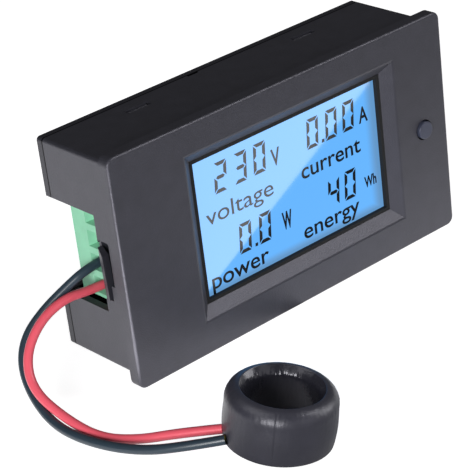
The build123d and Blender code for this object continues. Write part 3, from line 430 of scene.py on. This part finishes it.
def ring_place():
    """Where the upright ring goes: leaned on its leads, with the lowest point of its foot on the floor."""
    lift = (RING_FOOT_R - RING_EDGE) * sin(RING_LEAN) + RING_EDGE * (1 - cos(RING_LEAN))
    foot = Vector((*RING_FOOT, FLOOR + lift)) * MM
    sideways = -sin(RING_LEAN)
    axis = Vector((sideways * cos(RING_HEADING), sideways * sin(RING_HEADING), cos(RING_LEAN)))
    turn = Vector((0.0, 0.0, 1.0)).rotation_difference(axis)
    return Matrix.Translation(foot) @ turn.to_matrix().to_4x4()


print("middle of the ring's foot in mm:", [round(v / MM, 2) for v in ring_place().translation])

# %% [markdown]
# Spinning the sleeve
#
# The skin is a closed band: the profile goes round its own wall, and its copies go round the axis. The
# Screw modifier can spin a profile too, but it can't wrinkle it on the way. A Boolean modifier then cuts
# the two holes for the leads, and the result becomes a plain mesh that needs no modifier any more.

# %% Spun skin
SLEEVE_STEPS = 480


def spun_skin():
    """The points and faces of the sleeve, spun upright round the Z axis."""
    points, faces = [], []
    rings = len(SLEEVE_PROFILE)
    for step in range(SLEEVE_STEPS):
        angle = 2 * pi * step / SLEEVE_STEPS
        here, after = step * rings, (step + 1) % SLEEVE_STEPS * rings
        for place, (radius, height, amount) in enumerate(SLEEVE_PROFILE):
            r = skin_radius(angle, radius, height, amount)
            points.append((r * cos(angle) * MM, r * sin(angle) * MM, height * MM))
            up = (place + 1) % rings
            faces.append((here + place, here + up, after + up, after + place))
    return points, faces


skin_points, skin_faces = spun_skin()
print("points and faces of the skin:", len(skin_points), len(skin_faces))

# %% Sleeve piece
HOLE_R, HOLE_L, HOLE_SIDES = 1.0, 5.0, 24


def shape_of(piece):
    """What the modifiers or the curve of a piece make, as a plain mesh."""
    return bpy.data.meshes.new_from_object(piece.evaluated_get(bpy.context.evaluated_depsgraph_get()))


def settle(piece):
    """Keeps the shape that the modifiers make, and drops the modifiers."""
    shape = shape_of(piece)
    piece.modifiers.clear()
    piece.data = shape
    return piece


def lead_hole(route):
    """A round bar where a lead goes through the sleeve."""
    end, before = Vector(route[-1]) * MM, Vector(route[-2]) * MM
    way = (end - before).normalized()
    bpy.ops.mesh.primitive_cylinder_add(vertices=HOLE_SIDES, radius=HOLE_R * MM, depth=HOLE_L * MM,
                                        location=end)
    bar = bpy.context.object
    bar.matrix_world = Matrix.Translation(end) @ way.to_track_quat("Z", "Y").to_matrix().to_4x4()
    return bar


def sleeve_piece():
    """The sleeve as a spun mesh in two finishes, with a hole for each lead."""
    mesh = bpy.data.meshes.new("ring_sleeve")
    mesh.from_pydata(skin_points, [], skin_faces)
    mesh.transform(ring_place())
    mesh.polygons.foreach_set("use_smooth", [True] * len(skin_faces))
    mesh.materials.append(sleeve)
    mesh.materials.append(fold)
    in_fold = [int(face % len(SLEEVE_PROFILE) < FOLD_POINTS) for face in range(len(skin_faces))]
    mesh.polygons.foreach_set("material_index", in_fold)
    piece = put("ring_sleeve", mesh)
    hole_bars = [lead_hole(route) for route in (BLACK_ROUTE, RED_ROUTE)]
    for bar in hole_bars:
        cut = piece.modifiers.new("lead_hole", "BOOLEAN")
        cut.operation = "DIFFERENCE"
        cut.object = bar
    settle(piece)
    for bar in hole_bars:
        bpy.data.objects.remove(bar)
    return piece


ring_sleeve = sleeve_piece()
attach(ring_sleeve, "root")
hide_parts("ct_sleeve")
print("faces in the sleeve:", len(ring_sleeve.data.polygons))

# %% [markdown]
# Terminal
#
# The screw terminal is moulded in bright green plastic, which stands out against the dark box. Its clamps
# and screws are zinc-plated steel. What is soldered is tinned, and so are the bare ends of the leads. The
# finishes stand in a table, one row for each, because they differ in their numbers alone. A call for each
# would do the same in more lines.

# %% Terminal finishes
# name, colour, roughness, grains to the metre, relief in mm, other values, pieces
TERMINAL_FINISHES = [
    ("terminal_green", (140, 210, 174), 0.45, 3000, 0.02, {"mottle": 0.05}, ["terminal_housing"]),
    ("zinc_plate", (205, 203, 196), 0.32, 2600, 0.01, {"Metallic": 1.0},
     [f"terminal_{part}_{pole}" for part in ("cage", "screw") for pole in range(1, 5)] + ["board_screws"]),
    ("tinned_metal", (214, 212, 208), 0.26, 1800, 0.01, {"Metallic": 1.0},
     ["display_pins", "switch_lid", "switch_dome", "quartz_crystal", "terminal_contacts",
      "lead_end_black", "lead_end_red"]),
]


def dress_all(finishes):
    """Makes each finish of a table and gives it to its pieces."""
    for name, colour, roughness, grain, relief, others, pieces in finishes:
        dress(surface(name, linear(*colour), roughness, grain, relief, **others), *pieces)


dress_all(TERMINAL_FINISHES)

# %% [markdown]
# Pieces inside
#
# The board and what it carries are hidden while the box is closed, but a lesson on the inside would
# show them, so each gets the finish of its kind. One grey for all would do for the picture, and it would
# leave nothing to learn from. The table has the same columns as the one before.

# %% Inner finishes
INNER_FINISHES = [
    ("board_lacquer", (20, 84, 48), 0.3, 700, 0.01, {"mottle": 0.15}, ["main_board"]),
    ("chip_epoxy", (40, 40, 43), 0.55, 4000, 0.02, {},
     ["metering_chip", "microcontroller", "display_driver", "memory_chip", "voltage_regulator",
      "rectifier_diodes", "divider_resistors", "burden_resistors", "switch_body", "switch_plunger"]),
    ("chip_ceramic", (180, 150, 118), 0.5, 3000, 0.01, {}, ["chip_capacitors"]),
    ("capacitor_box", (226, 178, 52), 0.4, 1500, 0.01, {}, ["film_capacitor"]),
    ("capacitor_can", (44, 56, 92), 0.3, 1500, 0.01, {},
     ["smoothing_capacitor_large", "smoothing_capacitor_small"]),
    ("varistor_lacquer", (48, 92, 158), 0.3, 900, 0.04, {}, ["varistor"]),
    ("resistor_lacquer", (160, 190, 172), 0.45, 1200, 0.03, {}, ["fusible_resistor"]),
    ("core_strip", (132, 132, 136), 0.4, 2500, 0.02, {"Metallic": 0.8}, ["ct_core"]),
    ("enamelled_copper", (190, 104, 62), 0.28, 2000, 0.01, {"Metallic": 0.9}, ["ct_winding"]),
    ("polyester_tape", (226, 206, 92), 0.32, 1200, 0.01, {}, ["ct_tape"]),
    ("white_film", (226, 230, 236), 0.5, 2000, 0.01, {"mottle": 0.02},
     ["polariser_rear", "diffuser_film", "reflector_film"]),
    ("white_frame", (224, 224, 218), 0.5, 2400, 0.01, {"mottle": 0.04},
     ["display_frame", "backlight_lamps"]),
    ("clear_glass", (232, 242, 250), 0.08, 400, 0.0,
     {"mottle": 0.01, "sheen_spread": 0.03, "Transmission Weight": 0.9, "IOR": 1.5},
     ["display_glass_front", "display_glass_rear", "light_guide"]),
]
dress_all(INNER_FINISHES)

# %% [markdown]
# Backlight
#
# Lamps at the edge send their light through the light guide, and it leaves through the front polariser. It
# is blue all over, and dimmer and greyer along the lower and the right edge, where shade is painted into
# the light. The surface itself is smooth and mirrors what stands in front of it, so the light is an
# emission under a clear gloss. A lamp behind real glass would be truer, and it would take far longer to
# render.

# %% Display finish
DEEP_BLUE = linear(98, 178, 252)
BLUE_IN_PAINTED_SHADE = linear(98, 150, 200)
PICTURE_X, PICTURE_Z = 1.7, 0.4
PICTURE_W, PICTURE_H = 50.5, 29.7
# axis, place of the edge, and where the painted shade starts and ends, as seen from that edge
EDGES_WITH_PAINTED_SHADE = [
    ("X", PICTURE_X + PICTURE_W / 2, (-3.6, -0.8)),
    ("Z", PICTURE_Z - PICTURE_H / 2, (2.4, 0.3)),
]
UNDER_THE_GLOSS = {"Emission Strength": 1.0, "Base Color": (0.01, 0.02, 0.03, 1.0), "Roughness": 0.05,
                   "Specular IOR Level": 0.1}


def backlight():
    """Blue light with painted shade: dimmer and greyer towards the lower and the right edge."""
    material, tree, shader = new_material("display_backlight")
    painted_shade = []
    for axis, edge, fade in EDGES_WITH_PAINTED_SHADE:
        limits = [(edge + place) * MM for place in fade]
        painted_shade.append(spread(tree, along_axis(tree, axis), limits, smooth=True))
    # painted shade: the blue turns dimmer and greyer near the lower and the right edge
    blues = ramp(tree, maths(tree, "MAXIMUM", *painted_shade), [(0.0, DEEP_BLUE), (1.0, BLUE_IN_PAINTED_SHADE)])
    feed(tree, shader, {"Emission Color": blues, **UNDER_THE_GLOSS})
    return material


dress(backlight(), "polariser_front")

# %% [markdown]
# Digits
#
# Each digit is made of seven bars, and a reading switches some of them on. The bars come in three kinds:
# the flat ones at the top and the foot and the upright ones are mitred and differ in length, and the one
# in the middle is pointed. That is a rule, so Geometry Nodes build it. The places come from a small
# table. A font would be quicker, but its strokes lack the gaps.

# %% Seven bars
DIGIT_W, DIGIT_H = 3.2, 6.5
BAR_T = 0.78
BAR_GAP = 0.16
LEANS_BY = 0.6
DIGIT_LEAN = LEANS_BY / DIGIT_H
# for each bar: how far right and how far up in shares of the digit, and its turn in degrees, None for
# the middle one, which needs no turn
BARS = {
    "top": (0.0, 1.0, 0.0), "middle": (0.0, 0.5, None), "bottom": (0.0, 0.0, 180.0),
    "upper_left": (-0.5, 0.75, 90.0), "upper_right": (0.5, 0.75, -90.0),
    "lower_left": (-0.5, 0.25, 90.0), "lower_right": (0.5, 0.25, -90.0),
}
DARK_BARS = {
    "0": ("middle",),
    "2": ("upper_left", "lower_right"),
    "3": ("upper_left", "lower_left"),
    "4": ("top", "bottom", "lower_left"),
}
FLAT, UPRIGHT, MIDDLE = 0, 1, 2


def bar_places(digit, left, base):
    """The middle of each lit bar of a digit, its kind and its turn in radians."""
    places = []
    middle = left + DIGIT_W / 2
    wide, tall = DIGIT_W - BAR_T, DIGIT_H - BAR_T
    lean = atan2(DIGIT_LEAN, 1.0)
    for name, (across, up, turn) in BARS.items():
        if name not in DARK_BARS[digit]:
            x = middle + across * wide
            z = base + BAR_T / 2 + up * tall
            x += (z - base - DIGIT_H / 2) * DIGIT_LEAN
            if turn is None:
                places.append((x, z, MIDDLE, 0.0))
            elif turn in (0.0, 180.0):
                places.append((x, z, FLAT, radians(turn)))
            else:
                places.append((x, z, UPRIGHT, radians(turn) - lean))
    return places


print("bars lit in a 3:", len(bar_places("3", 0, 0)))

# %% [markdown]
# One bar
#
# A bar is a hexagon. Its six corners are known by two signs: at which end a corner stands, and in which
# row, above, on or below the middle line. The signs and the sizes give each corner its place, and the same
# few nodes make all three kinds. Drawing each kind point by point would need three lists of corners.

# %% Bar nodes
HEXAGON = {"Vertices": 6, "Radius": 1.0}
ON_THE_LINE = 0.1
WELD = 0.001


def corner_signs(tree):
    """A flat hexagon, with the end (-1 or 1) and the row (-1, 0 or 1) of each corner."""
    hexagon = add_node(tree, "GeometryNodeMeshCircle", HEXAGON, fill_type="NGON")
    split = tree.nodes.new("ShaderNodeSeparateXYZ")
    feed(tree, split, {"Vector": add_node(tree, "GeometryNodeInputPosition", {})})
    across, up = split.outputs["X"], split.outputs["Y"]
    off_line = maths(tree, "GREATER_THAN", maths(tree, "ABSOLUTE", up), ON_THE_LINE)
    return hexagon, maths(tree, "SIGN", across), maths(tree, "MULTIPLY", maths(tree, "SIGN", up), off_line)


def joined(tree, *parts):
    """Several geometries as one."""
    node = tree.nodes.new("GeometryNodeJoinGeometry")
    for part in parts:
        feed(tree, node, {"Geometry": part})
    return node.outputs["Geometry"]


def bar_shape(tree, signs, sizes, length, mitred):
    """A closed bar of a given length, with mitred ends or with points in the middle of its ends."""
    hexagon, end, row = signs
    half_width = maths(tree, "MULTIPLY", sizes["Bar Width"], 0.5)
    half_length = maths(tree, "MULTIPLY", sizes[length], 0.5)
    cut_back = maths(tree, "SUBTRACT", 1.0, row) if mitred else maths(tree, "ABSOLUTE", row)
    reach = maths(tree, "SUBTRACT", half_length, maths(tree, "MULTIPLY", cut_back, half_width))
    corner = add_node(tree, "ShaderNodeCombineXYZ", {
        "X": maths(tree, "MULTIPLY", end, reach), "Y": maths(tree, "MULTIPLY", row, half_width)})
    shape = add_node(tree, "GeometryNodeSetPosition", {"Geometry": hexagon, "Position": corner})
    depth = sizes["Ink Thickness"]
    thick = add_node(tree, "GeometryNodeExtrudeMesh", {"Mesh": shape, "Offset Scale": depth})
    back = add_node(tree, "GeometryNodeFlipFaces", {"Mesh": shape})
    closed = joined(tree, thick, back)
    return add_node(tree, "GeometryNodeMergeByDistance", {"Geometry": closed, "Distance": WELD * MM})


print("corners in a bar:", HEXAGON["Vertices"])

# %% [markdown]
# The tree of the digits
#
# The tree takes points, and each point carries the kind and the turn of its bar. Every kind is set on the
# points that ask for it, as instances, which cost nothing until they are made real at the end. The ink is
# nearly black and lies on the polariser in a layer too thin to see from the side.

# %% Digit tree
INK_T = 0.02
TREE_SIZES = {
    "Flat Length": DIGIT_W - BAR_GAP, "Upright Length": DIGIT_H / 2 - BAR_GAP,
    "Middle Length": DIGIT_W - BAR_T - BAR_GAP, "Bar Width": BAR_T, "Ink Thickness": INK_T,
}
# kind, its length, whether it is mitred
BAR_KINDS = [(FLAT, "Flat Length", True), (UPRIGHT, "Upright Length", True),
             (MIDDLE, "Middle Length", False)]
INK_LOOK = {"Base Color": (0.003, 0.004, 0.005, 1.0), "Roughness": 0.12, "Specular IOR Level": 0.06}
# where a Compare node takes its two whole numbers
WHOLE_A, WHOLE_B = 2, 3


def sized_tree(name, sizes):
    """A Geometry Nodes tree with a named input for each size, its inlet and its outlet."""
    tree = bpy.data.node_groups.new(name, "GeometryNodeTree")
    make = tree.interface.new_socket
    make(name="Geometry", in_out="INPUT", socket_type="NodeSocketGeometry")
    for size, value in sizes.items():
        make(name=size, in_out="INPUT", socket_type="NodeSocketFloat").default_value = value * MM
    make(name="Geometry", in_out="OUTPUT", socket_type="NodeSocketGeometry")
    return tree, tree.nodes.new("NodeGroupInput"), tree.nodes.new("NodeGroupOutput")


def carried(tree, name, kind):
    """What each point carries under a name."""
    return add_node(tree, "GeometryNodeInputNamedAttribute", {"Name": name}, "Attribute", data_type=kind)


def digit_tree(material):
    """A node tree that sets a bar on every point, by the kind and the turn that the point carries."""
    tree, inlet, outlet = sized_tree("seven_segment_bars", TREE_SIZES)
    signs = corner_signs(tree)
    kind_here = carried(tree, "kind", "INT")
    turn_here = maths(tree, "MULTIPLY", carried(tree, "turn", "FLOAT"), -1.0)
    spin = add_node(tree, "ShaderNodeCombineXYZ", {"X": pi / 2, "Y": turn_here})
    sets = []
    for kind, length, mitred in BAR_KINDS:
        bar = bar_shape(tree, signs, inlet.outputs, length, mitred)
        same = add_node(tree, "FunctionNodeCompare", {WHOLE_A: kind_here, WHOLE_B: kind}, data_type="INT",
                        operation="EQUAL")
        sets.append(add_node(tree, "GeometryNodeInstanceOnPoints", {
            "Points": inlet.outputs["Geometry"], "Instance": bar, "Selection": same, "Rotation": spin}))
    real = add_node(tree, "GeometryNodeRealizeInstances", {"Geometry": joined(tree, *sets)})
    painted = add_node(tree, "GeometryNodeSetMaterial", {"Geometry": real, "Material": material})
    feed(tree, outlet, {"Geometry": painted})
    return tree


ink, ink_nodes, ink_shader = new_material("liquid_crystal_ink")
feed(ink_nodes, ink_shader, INK_LOOK)
bar_tree = digit_tree(ink)
print("nodes in the tree of the digits:", len(bar_tree.nodes))

# %% [markdown]
# Readings
#
# Four readings stand on the display: voltage, current, power and energy. Their lit bars are points of one
# mesh on the face of the polariser, which the tree turns into bars. Four meshes would look the same, but
# they never move apart.

# %% Readings
# digits, left edges of the digits, foot of the row
READINGS = [
    ("230", (-17.8, -12.5, -7.4), 6.3), ("000", (7.3, 12.6, 17.5), 6.3),
    ("00", (-13.4, -8.0), -8.9), ("40", (11.5, 16.3), -8.9),
]
GLASS_Y = 0.1


def readings():
    """All lit bars of the four readings as one mesh."""
    places = []
    for digits, lefts, base in READINGS:
        for digit, left in zip(digits, lefts):
            places += bar_places(digit, left, base)
    points = bpy.data.meshes.new("bar_places")
    points.from_pydata([(x * MM, GLASS_Y * MM, z * MM) for x, z, kind, turn in places], [], [])
    kinds = points.attributes.new("kind", "INT", "POINT")
    kinds.data.foreach_set("value", [kind for x, z, kind, turn in places])
    turns = points.attributes.new("turn", "FLOAT", "POINT")
    turns.data.foreach_set("value", [turn for x, z, kind, turn in places])
    piece = put("readings", points)
    piece.modifiers.new("bars", "NODES").node_group = bar_tree
    return piece


bars = settle(readings())
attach(bars, "root")
print("faces in the readings:", len(bars.data.polygons))

# %% [markdown]
# Decimal points
#
# A decimal point is a small square that leans like the digits. Two boxes need no tree, so their corners
# are written out.

# %% Decimal dots
DOTS = [(11.6, 6.75), (-9.1, -8.45)]
DOT_SIDE = 0.72
BOX_SIDES = [(0, 3, 2, 1), (4, 5, 6, 7), (0, 1, 5, 4), (1, 2, 6, 5), (2, 3, 7, 6), (3, 0, 4, 7)]


def decimal_dots():
    """The decimal points, leaned like the digits."""
    corners, faces = [], []
    half = DOT_SIDE / 2
    for x, z in DOTS:
        first = len(corners)
        for y in (GLASS_Y, GLASS_Y - INK_T):
            for right, up in ((-half, -half), (half, -half), (half, half), (-half, half)):
                corners.append(((x + right + up * DIGIT_LEAN) * MM, y * MM, (z + up) * MM))
        faces += [[first + corner for corner in side] for side in BOX_SIDES]
    mesh = bpy.data.meshes.new("decimal_dots")
    mesh.from_pydata(corners, [], faces)
    mesh.materials.append(ink)
    piece = put("decimal_dots", mesh)
    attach(piece, "root")
    print("faces in the decimal dots:", len(faces))


decimal_dots()

# %% [markdown]
# Words and units
#
# The glass also carries the units and the names of the four quantities. They are printed shapes that
# never move, so they are text, turned to a thin mesh that lies on the glass. The built-in typeface is
# plain and stands in for the one on the object. Each word is fitted to a height and a width of its own,
# because the two typefaces differ in both.

# %% Words
# text, left edge, foot, height of its tall letters, width, how much bolder
WORDS = [
    ("V", -2.8, 6.4, 3.8, 2.4, 0.02), ("A", 22.0, 6.6, 3.6, 2.6, 0.02), ("W", -1.7, -8.3, 3.9, 2.7, 0.035),
    ("Wh", 22.0, -8.2, 2.5, 3.5, 0.03),
    ("voltage", -21.1, 0.5, 3.7, 18.0, 0.0), ("current", 4.8, 0.5, 3.7, 17.0, 0.01),
    ("power", -21.7, -13.4, 3.7, 15.5, 0.01), ("energy", 3.8, -12.8, 3.7, 16.2, 0.01),
]
TALL_LETTER = 0.73


def word(text, left, base, height, width, bolder):
    """A word that stands on the glass, with its capitals or tall letters as high as given."""
    curve = bpy.data.curves.new("word_" + text, "FONT")
    curve.body = text
    curve.extrude = INK_T / 2
    curve.offset = bolder
    letter = put("word_" + text, curve)
    mesh = shape_of(letter)
    bpy.data.objects.remove(letter)
    points = [vertex.co for vertex in mesh.vertices]
    low_x, high_x = min(p.x for p in points), max(p.x for p in points)
    for vertex in mesh.vertices:
        x, up, out = vertex.co
        across = left + (x - low_x) / (high_x - low_x) * width
        back = GLASS_Y - out - INK_T / 2
        high = base + up / TALL_LETTER * height
        vertex.co = (across * MM, back * MM, high * MM)
    mesh.materials.clear()
    mesh.materials.append(ink)
    piece = put("word_" + text, mesh)
    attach(piece, "root")
    print("faces in the word", text, len(mesh.polygons))


for entry in WORDS:
    word(*entry)

# %% [markdown]
# Stage
#
# The photograph shows the meter on plain white. A pale floor and a white surrounding do the same. For
# the camera and for reflections the floor adds a glow of its own, so that it comes out white without
# more light on the meter, and the soft shadow under the meter stays. In reflections the glow fades to the
# front and towards the camera, as it does where a dark room stands behind the photographer. Without the
# fade the button and the bezel would mirror a white floor and look pale.

# %% Floor
FLOOR_HALF = 3.0
FLOOR_LOOK = {"Base Color": (0.85, 0.85, 0.86, 1.0), "Roughness": 0.9}
CAMERA_GLOW = 0.85
NEAR_GLOW, FAR_GLOW = 1.15, 0.05
GLOW_NEAR, GLOW_FAR = -8.0, -60.0
SHADE_START, SHADE_END, SHADE_LEFT = 0.86, 0.97, 0.05
TOWARDS_CAMERA = (-0.62, -0.78, 0.0)


def floor_finish():
    """A pale matt finish that glows for the camera, and in reflections where it is near the meter."""
    material, tree, shader = new_material("pale_floor")
    feed(tree, shader, FLOOR_LOOK)
    rays = tree.nodes.new("ShaderNodeLightPath")
    spot = object_coordinates(tree)
    direction = add_node(tree, "ShaderNodeVectorMath", {0: spot}, operation="NORMALIZE")
    towards = add_node(tree, "ShaderNodeVectorMath", {0: direction, 1: TOWARDS_CAMERA}, "Value",
                       operation="DOT_PRODUCT")
    near = spread(tree, along_axis(tree, "Y"), (GLOW_NEAR * MM, GLOW_FAR * MM), onto=(NEAR_GLOW, FAR_GLOW))
    aside = spread(tree, towards, (SHADE_START, SHADE_END), onto=(1.0, SHADE_LEFT))
    glossy = maths(tree, "MULTIPLY", maths(tree, "MULTIPLY", rays.outputs["Is Glossy Ray"], near), aside)
    strength = maths(tree, "MULTIPLY_ADD", rays.outputs["Is Camera Ray"], CAMERA_GLOW, glossy)
    glow = add_node(tree, "ShaderNodeEmission", {"Strength": strength})
    both = add_node(tree, "ShaderNodeAddShader", {0: glow, 1: shader.outputs[0]})
    output = next(node for node in tree.nodes if node.type == "OUTPUT_MATERIAL")
    feed(tree, output, {"Surface": both})
    return material


def stage_floor():
    """A large pale floor under the meter."""
    corners = [(-FLOOR_HALF, -FLOOR_HALF, 0), (FLOOR_HALF, -FLOOR_HALF, 0), (FLOOR_HALF, FLOOR_HALF, 0),
               (-FLOOR_HALF, FLOOR_HALF, 0)]
    mesh = bpy.data.meshes.new("floor")
    mesh.from_pydata(corners, [], [(0, 1, 2, 3)])
    mesh.materials.append(floor_finish())
    piece = put("floor", mesh)
    piece.location.z = FLOOR * MM
    print("side of the floor in metres:", 2 * FLOOR_HALF)


stage_floor()

# %% [markdown]
# World
#
# What lies beyond the floor is the world. The camera sees it white, but it hardly lights the meter, so
# that the lamps alone shape it. One strength for both would either grey the background or flatten the
# meter.

# %% World
WORLD_FILL, WORLD_SEEN = 0.06, 1.0
WHITE = (1.0, 1.0, 1.0, 1.0)


def surroundings():
    """A world that is white for the camera and nearly dark for the rest."""
    world = bpy.data.worlds.new("studio")
    world.use_nodes = True
    tree = world.node_tree
    back = next(node for node in tree.nodes if node.type == "BACKGROUND")
    by_camera = add_node(tree, "ShaderNodeLightPath", {}, "Is Camera Ray")
    strength = spread(tree, by_camera, UNIT, onto=(WORLD_FILL, WORLD_SEEN))
    feed(tree, back, {"Strength": strength, "Color": WHITE})
    scene.world = world
    print("the world lights with", WORLD_FILL, "and is seen with", WORLD_SEEN)


surroundings()

# %% [markdown]
# Lamps
#
# One large soft lamp stands low at the front left, so the left side is the brightest and the top stays
# dark. A weaker one lights the front, and a third gives the edges their sheen. Three more light the ring
# alone, one of them the leads too, because the dark sleeve needs more light than the box. Light linking
# keeps these to their pieces. A larger lamp for all would wash out the box.

# %% Soft lamps
METER_AT = (0, 0, 0)
RING_AT = (-41, -38, -15)
EDGE_LIGHT_AT, EDGE_LIGHT_SIDE = (620, -560, 720), 300
# name, place, aim, side of the square, watts, the only pieces that it lights
LAMPS = [
    ("key_from_left", (-900, -560, 190), METER_AT, 500, 11.0, ()),
    ("front_fill", (150, -1100, 250), METER_AT, 700, 1.4, ()),
    ("edge_light", EDGE_LIGHT_AT, METER_AT, EDGE_LIGHT_SIDE, 3.0, ()),
    ("ring_lamp", (-860, -520, 330), RING_AT, 800, 2.1, ("ring_sleeve", "red_lead", "black_lead")),
    ("ring_from_right", (640, -420, 130), RING_AT, 420, 2.8, ("ring_sleeve",)),
    ("ring_from_above", (-420, 60, 700), RING_AT, 600, 2.3, ("ring_sleeve",)),
]


def soft_lamp(name, place, aim, size, power):
    """A square area lamp at a place, turned towards a point. Millimetres and watts."""
    data = bpy.data.lights.new(name, "AREA")
    data.shape = "SQUARE"
    data.size = size * MM
    data.energy = power
    lamp = put(name, data)
    way = (Vector(aim) - Vector(place)) * MM
    turn = way.to_track_quat("-Z", "Y").to_matrix().to_4x4()
    lamp.matrix_world = Matrix.Translation(Vector(place) * MM) @ turn
    print(name, "shines with", power, "W from", round(way.length, 2), "m")
    return lamp


def only_for(lamp, names):
    """Lets a lamp light nothing but the pieces whose names start as given."""
    receivers = bpy.data.collections.new("lit_by_" + lamp.name)
    for piece in scene.objects:
        if piece.name.startswith(names):
            receivers.objects.link(piece)
    lamp.light_linking.receiver_collection = receivers


for name, place, aim, side, watts, lit in LAMPS:
    lamp = soft_lamp(name, place, aim, side, watts)
    if lit:
        only_for(lamp, lit)

# %% [markdown]
# Reflections
#
# Some light in the photograph is only a reflection: the pale upper left half of the display, and the
# bright edge of the bezel. Two cards on the floor and one more lamp make them. They show in the gloss of
# the pieces named with them and light nothing else. White boards before the meter would do the same, but
# the camera would see them.

# %% Cards and glint
CARD_Z = -24.6
# name, corner, direction of the length, length, width, radiance, the only pieces that mirror it
CARDS = [
    ("display_card", (-14.8, -14.6, CARD_Z), (90.3, -46.3, 0.0), 150.0, 40.0, 17.0,
     ("polariser_front", "readings", "word_", "decimal_dots")),
    ("flange_card", (-150.0, -44.0, CARD_Z), (91.0, 49.0, 0.0), 105.0, 30.0, 11.0, ("front_housing",)),
]
GLINT_POWER = 4.0


def gloss_only(lamp, names):
    """Lets a lamp show as a reflection in some pieces and nowhere else."""
    lamp.visible_camera = False
    lamp.visible_diffuse = False
    only_for(lamp, names)


def floor_card(name, corner, along, length, width, radiance, names):
    """A bright strip on the floor, which only the named pieces mirror."""
    data = bpy.data.lights.new(name, "AREA")
    data.shape = "RECTANGLE"
    data.size, data.size_y = length * MM, width * MM
    data.energy = radiance * pi * data.size * data.size_y
    card = put(name, data)
    along = Vector(along).normalized()
    forward = Vector((0.0, 0.0, -1.0)).cross(along)
    middle = (Vector(corner) + (along * length + forward * width) / 2) * MM
    columns = [along, forward, along.cross(forward)]
    card.matrix_world = Matrix.Translation(middle) @ Matrix(columns).transposed().to_4x4()
    gloss_only(card, names)
    print(name, "shines along", [round(c, 2) for c in -columns[2]])


for entry in CARDS:
    floor_card(*entry)
glint = soft_lamp("flange_glint", EDGE_LIGHT_AT, METER_AT, EDGE_LIGHT_SIDE, GLINT_POWER)
gloss_only(glint, ("front_housing",))

# %% [markdown]
# Colour view
#
# The Standard view shows each colour as it is written, where the default view would soften it.

# %% Finish
scene.view_settings.view_transform = "Standard"
